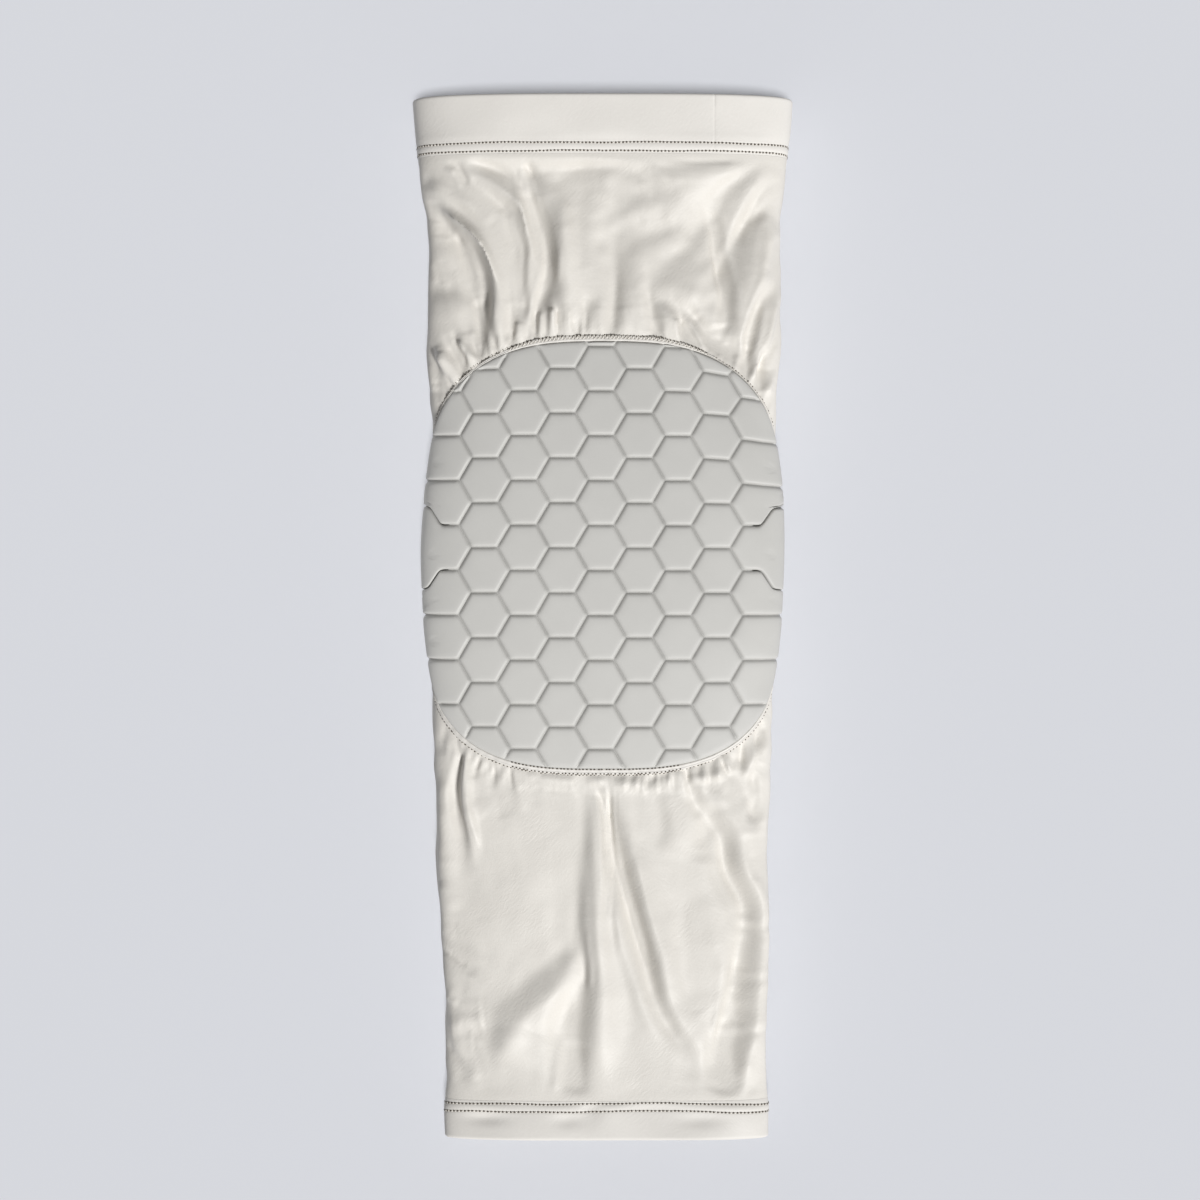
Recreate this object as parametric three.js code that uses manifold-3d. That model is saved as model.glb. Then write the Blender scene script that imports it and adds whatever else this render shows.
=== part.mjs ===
// Padded sliding sleeve: a stretch-fabric tube with a foam pad of hexagon cells
// let into its front. Millimetres, +Z up. The sleeve lies on its back: +Y runs to
// the wide end, +Z out of the padded front, and the underside is flat on z = 0.
import * as THREE from 'three';
import Module from 'manifold-3d';

const wasm = await Module();
wasm.setup();

// ---------------------------------------------------------------- driving sizes
const HALF_LENGTH = 185.85;   // half of the sleeve's length
const FABRIC_WALL = 1.2;      // single layer of stretch fabric
const BAND_WALL = 2.0;        // turned hem, two layers
const TOP_BAND_Y = 164.9;     // where the wide hem begins
const BOTTOM_BAND_Y = -171.6; // where the narrow hem begins
const GAP = 0.35;             // clearance between neighbouring pieces
const CROWN_POWER = 3.0;      // how boxy the upper half of a section is
const FOOT_INSET = 13;        // widest line to the edge of the flat underside

const PAD_CENTRE_Y = 23.1;    // pad centre along the sleeve
const PAD_HALF_WIDTH = 67.0;  // measured round the tube
const PAD_HALF_LENGTH = 75.7; // measured along the tube
const PAD_POWER = 2.95;       // how square the pad's outline is
const PAD_TOP = 4.4;          // pad surface above the tube at the middle
const PAD_RIM = 1.6;          // pad surface above the tube at its edge
const PAD_SIDES = 80;         // facets of the pad's outline

const CELL_FLAT = 15.83;      // hexagon cell, flat to flat
const CELL_PITCH = 13.6;      // column to column
const CELL_ROW_Y = 26.0;      // centre of the middle cell, along
const CELL_ASIDE = -0.9;      // centre of the middle cell, round
const CELL_COLUMNS = 3;       // whole columns on each side of the middle one
const GROOVE_DEPTH = 1.1;
const BEVEL = 0.85;           // slope beside a groove
const CELL_REFINE = 13;       // longest facet edge on the pad

const BINDING_WIDTH = 1.8;    // sewn strip round the pad
const BINDING_TOP = 0.7;      // strip above the tube
const CUT_REACH = 5;          // how far the opening's cutter passes the wall

// Cross-sections: half width, centre, crown height and level of the widest line.
const SECTIONS = [
  { y: -185.85, w: 58.4, cx: 1.4, h: 25.0, side: 15.6 },
  { y: -177, w: 58.4, cx: 1.4, h: 25.2, side: 15.7 },
  { y: -165, w: 57.8, cx: 1.4, h: 25.4, side: 15.9 },
  { y: -152, w: 57.5, cx: 1.4, h: 25.9, side: 16.3 },
  { y: -130, w: 58.1, cx: 1.1, h: 27.0, side: 16.9 },
  { y: -104, w: 58.8, cx: 0.4, h: 28.3, side: 17.7 },
  { y: -79, w: 59.4, cx: -0.2, h: 29.8, side: 18.8 },
  { y: -54, w: 60.3, cx: 0.0, h: 31.2, side: 19.8 },
  { y: -24, w: 60.9, cx: 0.0, h: 32.8, side: 20.8 },
  { y: -8, w: 61.2, cx: 0.0, h: 33.5, side: 21.5 },
  { y: 24, w: 62.4, cx: 0.0, h: 34.2, side: 22.2 },
  { y: 42, w: 61.8, cx: 0.4, h: 34.4, side: 22.0 },
  { y: 60, w: 61.0, cx: 0.5, h: 34.5, side: 21.9 },
  { y: 82, w: 62.2, cx: 0.5, h: 34.5, side: 21.7 },
  { y: 100, w: 63.6, cx: 0.5, h: 34.4, side: 21.6 },
  { y: 128, w: 62.8, cx: 0.6, h: 34.0, side: 21.4 },
  { y: 143, w: 63.3, cx: 0.4, h: 34.4, side: 21.3 },
  { y: 158, w: 65.3, cx: 0.0, h: 36.4, side: 21.6 },
  { y: 168, w: 66.4, cx: 0.0, h: 37.8, side: 21.8 },
  { y: 185.85, w: 67.9, cx: 0.0, h: 39.5, side: 22.0 },
];

// Main folds of the front: path across the front, width on each side, lift of the cloth.
const FOLDS = [
  { name: 'hem_valley', path: [[-57, 160], [16, 160.5]], left: 3.5, right: 3.5, lift: -1.2 },
  { name: 'shoulder_valley', path: [[-57, 148], [-47, 137], [-41, 124], [-40, 115], [-42, 100]], left: 4, right: 6, lift: -2.5 },
  { name: 'tall_ridge', path: [[-28, 156], [-24, 142], [-20, 125], [-24, 113], [-25, 101]], left: 3, right: 3.5, lift: 2.4 },
  { name: 'tall_ridge_valley', path: [[-18, 140], [-16.5, 126], [-19, 115], [-19, 101]], left: 3.5, right: 3, lift: -2 },
  { name: 'left_broad_ridge', path: [[-11, 135], [-11, 103]], left: 4, right: 4, lift: 1.4 },
  { name: 'cross_ridge', path: [[22, 138], [52, 161]], left: 6, right: 6, lift: 2 },
  { name: 'corner_valley', path: [[56, 160], [42, 147]], left: 4, right: 4, lift: -1.8 },
  { name: 'corner_ridge', path: [[59, 160], [50, 147], [44, 131]], left: 4, right: 4, lift: 1.8 },
  { name: 'right_valley', path: [[44, 130], [47, 114], [45, 102]], left: 4, right: 4, lift: -2.4 },
  { name: 'middle_valley', path: [[26, 139], [8, 131]], left: 6, right: 6, lift: -1.5 },
  { name: 'centre_valley', path: [[6, 131], [6, 101]], left: 3.5, right: 3.5, lift: -1.5 },
  { name: 'right_ridge', path: [[56, 144], [56, 124], [50, 101]], left: 4, right: 4, lift: 1.8 },
  { name: 'left_slit', path: [[-48.5, -45], [-49.5, -60], [-47.5, -79]], left: 3, right: 3, lift: -2 },
  { name: 'left_ridge', path: [[-53, -54], [-53, -85]], left: 3.5, right: 3.5, lift: 1.5 },
  { name: 'shin_valley', path: [[-5, -63], [-5, -129], [-6, -162]], left: 4, right: 4, lift: -1.6 },
  { name: 'shin_ridge', path: [[2, -56], [2, -127]], left: 4, right: 3, lift: 1.5 },
  { name: 'long_left_fold', path: [[-11, -116], [-19, -125], [-29, -134], [-37, -140], [-38, -151]], left: 6, right: 7, lift: -2.2 },
  { name: 'left_edge_fold', path: [[-55, -118], [-45, -125]], left: 4, right: 4, lift: -1.2 },
  { name: 'long_right_fold', path: [[5.5, -81], [10.5, -93], [15, -109], [20.5, -129], [27, -146]], left: 6, right: 4.5, lift: -2 },
  { name: 'long_right_ridge', path: [[26, -109], [26, -134]], left: 6, right: 6, lift: 1.3 },
  { name: 'outer_right_fold', path: [[41, -67], [46, -81], [50, -93], [55, -106]], left: 4, right: 4, lift: -1.5 },
  { name: 'right_edge_folds', path: [[54, -115], [51, -131], [48, -152], [45, -164]], left: 5, right: 5, lift: -1.4 },
];

// Looks of the pieces.
const FINISH = {
  fabric: { color: 0xe0dbd2, roughness: 0.62, metalness: 0 },
  band: { color: 0xe3dfd8, roughness: 0.62, metalness: 0 },
  foam: { color: 0xc9c8c3, roughness: 0.55, metalness: 0 },
  thread: { color: 0xd9d3c7, roughness: 0.7, metalness: 0 },
};

// ---------------------------------------------------------------- small helpers
const smooth = (a, b, x) => {
  const t = Math.min(1, Math.max(0, (x - a) / (b - a)));
  return t * t * (3 - 2 * t);
};

// Smooth curve through the rows of a table, read by y.
function readTable(rows, key, y) {
  const last = rows.length - 1;
  let i = 0;
  while (i < last - 1 && y > rows[i + 1].y) i += 1;
  const tangent = (j) => {
    const a = Math.max(0, j - 1);
    const b = Math.min(last, j + 1);
    return (rows[b][key] - rows[a][key]) / (rows[b].y - rows[a].y);
  };
  const span = rows[i + 1].y - rows[i].y;
  const t = (y - rows[i].y) / span;
  const t2 = t * t;
  const t3 = t2 * t;
  return rows[i][key] * (2 * t3 - 3 * t2 + 1) + tangent(i) * span * (t3 - 2 * t2 + t)
    + rows[i + 1][key] * (3 * t2 - 2 * t3) + tangent(i + 1) * span * (t3 - t2);
}

// ---------------------------------------------------------------- the tube's surface
// Half of a section, from the crest round to the middle of the underside, as points
// with outward normals and the length run so far.
const sectionCache = new Map();
function halfSection(y) {
  const key = y.toFixed(4);
  if (sectionCache.has(key)) return sectionCache.get(key);
  const w = readTable(SECTIONS, 'w', y);
  const cx = readTable(SECTIONS, 'cx', y);
  const h = readTable(SECTIONS, 'h', y);
  const side = readTable(SECTIONS, 'side', y);
  const rise = h - side;
  const foot = w - FOOT_INSET;
  const points = [];
  const STEPS = 120;
  for (let i = 0; i <= STEPS; i += 1) {
    const a = (Math.PI / 2) * (1 - i / STEPS);
    const x = w * Math.cos(a) ** (2 / CROWN_POWER) * (i > 0 ? 1 : 0);
    const z = rise * Math.sin(a) ** (2 / CROWN_POWER) * (i < STEPS ? 1 : 0);
    const n = new THREE.Vector2((x / w) ** (CROWN_POWER - 1) / w, (z / rise) ** (CROWN_POWER - 1) / rise).normalize();
    points.push({ x, z: side + z, nx: n.x, nz: n.y });
  }
  for (let i = 1; i <= 40; i += 1) {
    const a = (Math.PI / 2) * (i / 40);
    const n = new THREE.Vector2(Math.cos(a) / FOOT_INSET, -Math.sin(a) / side).normalize();
    points.push({ x: foot + FOOT_INSET * Math.cos(a), z: side * (1 - Math.sin(a)), nx: n.x, nz: n.y });
  }
  points.push({ x: 0, z: 0, nx: 0, nz: -1 });
  let run = 0;
  points.forEach((p, i) => {
    if (i > 0) run += Math.hypot(p.x - points[i - 1].x, p.z - points[i - 1].z);
    p.s = run;
  });
  const section = { points, cx, crown: points[STEPS].s, foot: points[STEPS + 40].s, half: run };
  sectionCache.set(key, section);
  return section;
}

// Point of the tube at length s round from the crest (+ to the right), raised by lift.
function onTube(s, y, lift = 0) {
  const { points, cx } = halfSection(y);
  const sign = s < 0 ? -1 : 1;
  const r = Math.min(Math.abs(s), points[points.length - 1].s);
  let lo = 0;
  let hi = points.length - 1;
  while (hi - lo > 1) {
    const mid = (lo + hi) >> 1;
    if (points[mid].s <= r) lo = mid; else hi = mid;
  }
  const a = points[lo];
  const b = points[hi];
  const t = (r - a.s) / (b.s - a.s);
  const n = new THREE.Vector2(a.nx + (b.nx - a.nx) * t, a.nz + (b.nz - a.nz) * t).normalize();
  const x = a.x + (b.x - a.x) * t + n.x * lift;
  const z = a.z + (b.z - a.z) * t + n.y * lift;
  return new THREE.Vector3(cx + sign * x, y, z);
}

// How far out of the pad's outline a place is: 1 on the outline.
const padRadius = (s, y) => (Math.abs(s / PAD_HALF_WIDTH) ** PAD_POWER
  + Math.abs((y - PAD_CENTRE_Y) / PAD_HALF_LENGTH) ** PAD_POWER) ** (1 / PAD_POWER);

// Lift of the cloth at a place of the front, from all the folds.
function foldLift(x, y) {
  let sum = 0;
  for (const fold of FOLDS) {
    const n = fold.path.length - 1;
    let best = Infinity;
    let along = 0;
    let turn = 1;
    for (let i = 0; i < n; i += 1) {
      const [ax, ay] = fold.path[i];
      const [bx, by] = fold.path[i + 1];
      const dx = bx - ax;
      const dy = by - ay;
      const t = Math.min(1, Math.max(0, ((x - ax) * dx + (y - ay) * dy) / (dx * dx + dy * dy)));
      const d = Math.hypot(x - ax - t * dx, y - ay - t * dy);
      if (d < best) {
        best = d;
        along = (i + t) / n;
        turn = Math.sign(dx * (y - ay) - dy * (x - ax)) || 1;
      }
    }
    const width = turn > 0 ? fold.left : fold.right;
    const ends = smooth(0, 0.22, along) * smooth(1, 0.78, along);
    sum += fold.lift * (0.25 + 0.75 * ends) * Math.exp(-((best / width) ** 2));
  }
  return sum;
}

// Outline of the pad, grown by an offset, as points of length round and length along.
function padOutline(offset) {
  const loop = [];
  for (let i = 0; i < PAD_SIDES; i += 1) {
    const a = (2 * Math.PI * (i + 0.5)) / PAD_SIDES;
    const c = Math.cos(a);
    const d = Math.sin(a);
    const s = PAD_HALF_WIDTH * Math.sign(c) * Math.abs(c) ** (2 / PAD_POWER);
    const v = PAD_HALF_LENGTH * Math.sign(d) * Math.abs(d) ** (2 / PAD_POWER);
    const n = new THREE.Vector2(
      Math.sign(c) * Math.abs(s / PAD_HALF_WIDTH) ** (PAD_POWER - 1) / PAD_HALF_WIDTH,
      Math.sign(d) * Math.abs(v / PAD_HALF_LENGTH) ** (PAD_POWER - 1) / PAD_HALF_LENGTH,
    ).normalize();
    loop.push([s + n.x * offset, PAD_CENTRE_Y + v + n.y * offset]);
  }
  return loop;
}

// ---------------------------------------------------------------- meshes and solids
function toGeometry(vertices, triangles) {
  const geometry = new THREE.BufferGeometry();
  geometry.setAttribute('position', new THREE.Float32BufferAttribute(vertices.flatMap((p) => [p.x, p.y, p.z]), 3));
  geometry.setIndex(triangles.flat());
  geometry.computeVertexNormals();
  return geometry;
}

function toSolid(geometry) {
  return new wasm.Manifold(new wasm.Mesh({
    numProp: 3,
    vertProperties: new Float32Array(geometry.attributes.position.array),
    triVerts: new Uint32Array(geometry.index.array),
  }));
}

function fromSolid(solid) {
  const mesh = solid.getMesh();
  const geometry = new THREE.BufferGeometry();
  geometry.setAttribute('position', new THREE.BufferAttribute(new Float32Array(mesh.vertProperties), 3));
  geometry.setIndex(new THREE.BufferAttribute(new Uint32Array(mesh.triVerts), 1));
  geometry.computeVertexNormals();
  return geometry;
}

// Closed surface of loops of equal count: rings[i][j] joined row to row and the last
// row to the first.
function closedRings(rings) {
  const count = rings[0].length;
  const vertices = rings.flat();
  const triangles = [];
  rings.forEach((_, i) => {
    const k = (i + 1) % rings.length;
    for (let j = 0; j < count; j += 1) {
      const m = (j + 1) % count;
      const a = i * count + j;
      const b = i * count + m;
      const c = k * count + m;
      const d = k * count + j;
      triangles.push([a, b, c], [a, c, d]);
    }
  });
  return toGeometry(vertices, triangles);
}

// ---------------------------------------------------------------- fabric walls
const CROWN_STEPS = 14;  // facets from the crest to the widest line
const LOWER_STEPS = 4;   // facets from the widest line to the underside
const FLAT_STEPS = 2;    // facets from there to the middle

// Stations round a section, as lengths from the crest, all the way round.
function stations(y) {
  const { crown, foot, half } = halfSection(y);
  const right = [];
  for (let i = 0; i < CROWN_STEPS; i += 1) right.push((crown * i) / CROWN_STEPS);
  for (let i = 0; i < LOWER_STEPS; i += 1) right.push(crown + ((foot - crown) * i) / LOWER_STEPS);
  for (let i = 0; i < FLAT_STEPS; i += 1) right.push(foot + ((half - foot) * i) / FLAT_STEPS);
  const left = right.slice(1).reverse().map((s) => -s);
  return [...right, half, ...left];
}

// One loop of a wall: depth under the outer face, with or without the folds.
function wallLoop(y, depth, folded) {
  return stations(y).map((s) => {
    const base = onTube(s, y);
    let lift = 0;
    if (folded) {
      const clear = smooth(1.05, 1.22, padRadius(s, y));
      const ends = smooth(TOP_BAND_Y, TOP_BAND_Y - 7, y) * smooth(BOTTOM_BAND_Y, BOTTOM_BAND_Y + 9, y);
      lift = foldLift(base.x, y) * clear * ends * smooth(6, 20, base.z);
    }
    return onTube(s, y, lift - depth);
  });
}

// A tube wall between two ends, with rows at the given places.
function tubeWall(rowsY, wall, folded) {
  const outer = rowsY.map((y) => wallLoop(y, 0, folded));
  const inner = rowsY.map((y) => wallLoop(y, wall, folded)).reverse();
  return closedRings([...outer, ...inner]);
}

const spread = (from, to, steps) => Array.from({ length: steps + 1 }, (_, i) => from + ((to - from) * i) / steps);

// ---------------------------------------------------------------- the pad's opening
// A thick plug over the pad's outline, used to open the tube's front.
function openingPlug(offset) {
  const scales = [1, 0.93, 0.86, 0.78, 0.68, 0.56, 0.42, 0.26, 0.1];
  const outline = padOutline(offset);
  const ring = (k, lift) => outline.map(([s, y]) => onTube(s * k, PAD_CENTRE_Y + (y - PAD_CENTRE_Y) * k, lift));
  const upper = scales.map((k) => ring(k, CUT_REACH));
  const lower = scales.map((k) => ring(k, -CUT_REACH));
  const wall = [-2.4, -FABRIC_WALL, 0, FABRIC_WALL, 2.4].map((lift) => ring(1, lift));
  const rings = [...lower.reverse(), ...wall, ...upper];
  const count = PAD_SIDES;
  const vertices = rings.flat();
  const triangles = [];
  for (let i = 0; i < rings.length - 1; i += 1) {
    for (let j = 0; j < count; j += 1) {
      const m = (j + 1) % count;
      triangles.push([i * count + j, i * count + m, (i + 1) * count + m]);
      triangles.push([i * count + j, (i + 1) * count + m, (i + 1) * count + j]);
    }
  }
  const low = vertices.push(onTube(0, PAD_CENTRE_Y, -CUT_REACH)) - 1;
  const high = vertices.push(onTube(0, PAD_CENTRE_Y, CUT_REACH)) - 1;
  const end = (rings.length - 1) * count;
  for (let j = 0; j < count; j += 1) {
    const m = (j + 1) % count;
    triangles.push([low, m, j], [high, end + j, end + m]);
  }
  return toGeometry(vertices, triangles);
}

// ---------------------------------------------------------------- the seam strip
function seamStrip() {
  const loop = (offset, lift) => padOutline(offset).map(([s, y]) => onTube(s, y, lift));
  const a = GAP;
  const b = GAP + BINDING_WIDTH;
  return closedRings([
    loop(a, -FABRIC_WALL), loop(a, BINDING_TOP * 0.75), loop((a + b) / 2, BINDING_TOP),
    loop(b, BINDING_TOP * 0.6), loop(b, -FABRIC_WALL),
  ].reverse());
}

// ---------------------------------------------------------------- the foam pad
const area = (poly) => poly.reduce((sum, [x, y], i) => {
  const [u, v] = poly[(i + 1) % poly.length];
  return sum + (x * v - u * y) / 2;
}, 0);

// Part of a polygon inside a convex outline that runs anticlockwise.
function clip(poly, outline) {
  let out = poly;
  outline.forEach(([ax, ay], i) => {
    const [bx, by] = outline[(i + 1) % outline.length];
    const side = ([x, y]) => (bx - ax) * (y - ay) - (by - ay) * (x - ax);
    const next = [];
    out.forEach((p, j) => {
      const q = out[(j + 1) % out.length];
      const sp = side(p);
      const sq = side(q);
      if (sp >= 0) next.push(p);
      if ((sp > 0 && sq < 0) || (sp < 0 && sq > 0)) {
        const t = sp / (sp - sq);
        next.push([p[0] + (q[0] - p[0]) * t, p[1] + (q[1] - p[1]) * t]);
      }
    });
    out = next;
  });
  return out;
}

// A polygon drawn in by a distance, with its corners kept.
function inset(poly, distance) {
  const n = poly.length;
  const line = (i) => {
    const [ax, ay] = poly[i];
    const [bx, by] = poly[(i + 1) % n];
    const length = Math.hypot(bx - ax, by - ay);
    return { nx: -(by - ay) / length, ny: (bx - ax) / length, x: ax, y: ay };
  };
  return poly.map(([x, y], i) => {
    const a = line((i + n - 1) % n);
    const b = line(i);
    const k = 1 + a.nx * b.nx + a.ny * b.ny;
    const f = distance / Math.max(k, 0.35);
    return [x + (a.nx + b.nx) * f, y + (a.ny + b.ny) * f];
  });
}

// The cells, before the outline trims them: whole hexagons in the middle columns and
// side cells that run out round the tube, the middle one on each side flaring outward.
function padCells() {
  const half = CELL_FLAT / 2;
  const tip = (CELL_PITCH * 2) / 3;
  const flat = CELL_PITCH / 3;
  const rows = Math.ceil(PAD_HALF_LENGTH / CELL_FLAT) + 1;
  const cells = [];
  for (let k = -CELL_COLUMNS; k <= CELL_COLUMNS; k += 1) {
    for (let j = -rows; j <= rows; j += 1) {
      const x = k * CELL_PITCH;
      const y = CELL_ROW_Y + j * CELL_FLAT + (Math.abs(k) % 2 === 1 ? half : 0);
      cells.push([[x + tip, y], [x + flat, y + half], [x - flat, y + half], [x - tip, y], [x - flat, y - half], [x + flat, y - half]]);
    }
  }
  const column = (CELL_COLUMNS + 1) * CELL_PITCH;
  const FAR = PAD_HALF_WIDTH + 20;
  const flare = [{ s: 55.4, rise: 0 }, { s: 56.6, rise: 1.1 }, { s: 59.4, rise: 5.5 }, { s: 61.2, rise: 6.6 }, { s: FAR, rise: 8.4 }];
  const edge = (j) => { // groove above row j, from the inside outward
    const y = CELL_ROW_Y + (j + 0.5) * CELL_FLAT;
    const rise = j === 0 ? 1 : (j === -1 ? -1 : 0);
    return [[column - flat, y], ...(rise ? flare.map((f) => [f.s, y + rise * f.rise]) : [[FAR, y]])];
  };
  for (let j = -rows; j <= rows; j += 1) {
    const y = CELL_ROW_Y + j * CELL_FLAT;
    const right = [[column - tip, y], ...edge(j - 1), ...edge(j).reverse()];
    cells.push(right, right.map(([s, v]) => [-s, v]).reverse());
  }
  return cells.map((cell) => cell.map(([s, y]) => [s + CELL_ASIDE, y]));
}

function padGeometry() {
  const outline = padOutline(0);
  const top = (s, y) => PAD_RIM + (PAD_TOP - PAD_RIM) * (1 - Math.min(1, padRadius(s, y)) ** 2.5);
  const points = [];
  const byPlace = new Map();
  const point = (s, y, lift, share) => { // groove corners are shared by neighbouring cells
    if (share) {
      for (const [ds, dy] of [[0, 0], [1, 0], [-1, 0], [0, 1], [0, -1], [1, 1], [1, -1], [-1, 1], [-1, -1]]) {
        const near = byPlace.get(`${Math.floor(s * 50) + ds},${Math.floor(y * 50) + dy}`) ?? [];
        const found = near.find((i) => Math.hypot(points[i].s - s, points[i].y - y) < 0.012);
        if (found !== undefined) return found;
      }
    }
    const index = points.push({ s, y, lift }) - 1;
    if (share) {
      const key = `${Math.floor(s * 50)},${Math.floor(y * 50)}`;
      byPlace.set(key, [...(byPlace.get(key) ?? []), index]);
    }
    return index;
  };
  let triangles = [];
  for (const cell of padCells()) {
    let poly = clip(cell, outline);
    poly = poly.filter(([x, y], i) => {
      const [u, v] = poly[(i + poly.length - 1) % poly.length];
      return Math.hypot(x - u, y - v) > 0.02;
    });
    if (poly.length < 3 || area(poly) < 0.2) continue;
    let reach = BEVEL;
    let face = inset(poly, reach);
    const sound = () => face.every(([x, y], i) => {
      const m = (i + 1) % face.length;
      return (face[m][0] - x) * (poly[m][0] - poly[i][0]) + (face[m][1] - y) * (poly[m][1] - poly[i][1]) > 0;
    });
    const cut = () => THREE.ShapeUtils.triangulateShape(face.map(([s, y]) => new THREE.Vector2(s, y)), []);
    const whole = () => {
      const parts = cut();
      return parts.length === face.length - 2 && parts.every((t) => area(t.map((i) => face[i])) > 0);
    };
    while (reach > 0.002 && !(sound() && whole())) {
      reach *= 0.7;
      face = inset(poly, reach);
    }
    const low = poly.map(([s, y]) => point(s, y, top(s, y) - GROOVE_DEPTH, true));
    const high = face.map(([s, y]) => point(s, y, top(s, y), false));
    poly.forEach((_, i) => {
      const m = (i + 1) % poly.length;
      triangles.push([low[i], low[m], high[m]], [low[i], high[m], high[i]]);
    });
    cut().forEach((t) => triangles.push(t.map((i) => high[i])));
  }

  // Shorter facets, so that the pad follows the tube: long edges are halved on both sides.
  for (let pass = 0; pass < 3; pass += 1) {
    const middle = new Map();
    const half = (a, b) => {
      const key = a < b ? `${a},${b}` : `${b},${a}`;
      if (middle.has(key)) return middle.get(key);
      const p = points[a];
      const q = points[b];
      const round = Math.abs(p.s - q.s) * (Math.max(Math.abs(p.s), Math.abs(q.s)) > 48 ? 1.6 : 0.45);
      const long = Math.hypot(round, 0.45 * (p.y - q.y)) > CELL_REFINE;
      const index = long ? points.push({ s: (p.s + q.s) / 2, y: (p.y + q.y) / 2, lift: (p.lift + q.lift) / 2 }) - 1 : -1;
      middle.set(key, index);
      return index;
    };
    triangles = triangles.flatMap(([a, b, c]) => {
      const m = [half(a, b), half(b, c), half(c, a)];
      const cut = m.filter((i) => i >= 0).length;
      if (cut === 0) return [[a, b, c]];
      if (cut === 3) return [[a, m[0], m[2]], [m[0], b, m[1]], [m[2], m[1], c], [m[0], m[1], m[2]]];
      let [p, q, r] = [a, b, c];
      let [pq, qr, rp] = m;
      while (cut === 1 ? pq < 0 : rp >= 0) {
        [p, q, r] = [q, r, p];
        [pq, qr, rp] = [qr, rp, pq];
      }
      return cut === 1 ? [[p, pq, r], [pq, q, r]] : [[p, pq, r], [pq, qr, r], [pq, q, qr]];
    });
  }

  // The rim of the top, in order, then the side wall and the flat back of the foam.
  const next = new Map();
  const edges = new Set(triangles.flatMap(([a, b, c]) => [`${a},${b}`, `${b},${c}`, `${c},${a}`]));
  triangles.forEach(([a, b, c]) => [[a, b], [b, c], [c, a]].forEach(([p, q]) => {
    if (!edges.has(`${q},${p}`)) next.set(p, q);
  }));
  const rim = [next.keys().next().value];
  while (next.get(rim[rim.length - 1]) !== rim[0]) rim.push(next.get(rim[rim.length - 1]));
  const scales = [1, 0.93, 0.86, 0.74, 0.58, 0.38, 0.16];
  let loop = rim;
  scales.forEach((k, n) => {
    const step = n < 2 ? 1 : 2;
    const inner = [];
    const owner = [];
    loop.forEach((index, i) => {
      if (n === 0 || step === 1 || i % 2 === 0) {
        const from = n === 0 ? 1 : scales[n - 1];
        const p = points[index];
        inner.push(points.push({ s: (p.s * k) / from, y: PAD_CENTRE_Y + ((p.y - PAD_CENTRE_Y) * k) / from, lift: -FABRIC_WALL }) - 1);
      }
      owner.push(inner.length - 1);
    });
    loop.forEach((index, i) => {
      const m = (i + 1) % loop.length;
      const a = inner[owner[i]];
      const b = inner[owner[m]];
      triangles.push([loop[m], index, a]);
      if (a !== b) triangles.push([loop[m], a, b]);
    });
    loop = inner;
  });
  const hub = points.push({ s: 0, y: PAD_CENTRE_Y, lift: -FABRIC_WALL }) - 1;
  loop.forEach((index, i) => triangles.push([loop[(i + 1) % loop.length], index, hub]));
  return toGeometry(points.map((p) => onTube(p.s, p.y, p.lift)), triangles);
}

// ---------------------------------------------------------------- the assembly
const sleeve = new THREE.Group();
function add(name, geometry, finish) {
  const mesh = new THREE.Mesh(geometry, new THREE.MeshStandardMaterial(finish));
  mesh.name = name;
  sleeve.add(mesh);
}

const bodyWall = toSolid(tubeWall(spread(BOTTOM_BAND_Y + GAP, TOP_BAND_Y - GAP, 27), FABRIC_WALL, true));
const opening = toSolid(openingPlug(2 * GAP + BINDING_WIDTH));
add('sleeve_body', fromSolid(bodyWall.subtract(opening)), FINISH.fabric);
add('top_band', tubeWall(spread(TOP_BAND_Y, HALF_LENGTH, 3), BAND_WALL, false), FINISH.band);
add('bottom_band', tubeWall(spread(-HALF_LENGTH, BOTTOM_BAND_Y, 2), BAND_WALL, false), FINISH.band);
add('hex_pad', padGeometry(), FINISH.foam);
add('pad_binding', seamStrip(), FINISH.thread);

export default sleeve;
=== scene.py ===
"""Padded sliding sleeve: the looks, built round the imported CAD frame.

A stretch-fabric tube lies on its back with a foam pad of hexagon cells let into its
front. +Y runs to the wide end, +Z out of the padded front. Tables are in millimetres,
Blender objects in metres.
"""

import math

import bpy
import numpy as np
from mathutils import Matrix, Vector, geometry, kdtree


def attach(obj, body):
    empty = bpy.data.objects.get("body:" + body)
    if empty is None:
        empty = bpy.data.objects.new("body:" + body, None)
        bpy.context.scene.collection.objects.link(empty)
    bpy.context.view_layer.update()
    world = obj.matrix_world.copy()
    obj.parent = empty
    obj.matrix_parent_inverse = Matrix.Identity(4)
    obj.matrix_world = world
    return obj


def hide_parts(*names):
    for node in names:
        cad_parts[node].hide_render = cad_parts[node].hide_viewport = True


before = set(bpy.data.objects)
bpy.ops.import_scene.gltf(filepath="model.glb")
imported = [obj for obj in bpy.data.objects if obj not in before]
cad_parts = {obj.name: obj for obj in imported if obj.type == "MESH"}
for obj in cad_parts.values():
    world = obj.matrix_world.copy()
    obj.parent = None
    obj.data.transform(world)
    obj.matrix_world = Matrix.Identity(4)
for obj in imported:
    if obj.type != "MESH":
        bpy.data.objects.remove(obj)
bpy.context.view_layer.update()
MM = 0.001
rng = np.random.default_rng(11)

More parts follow.
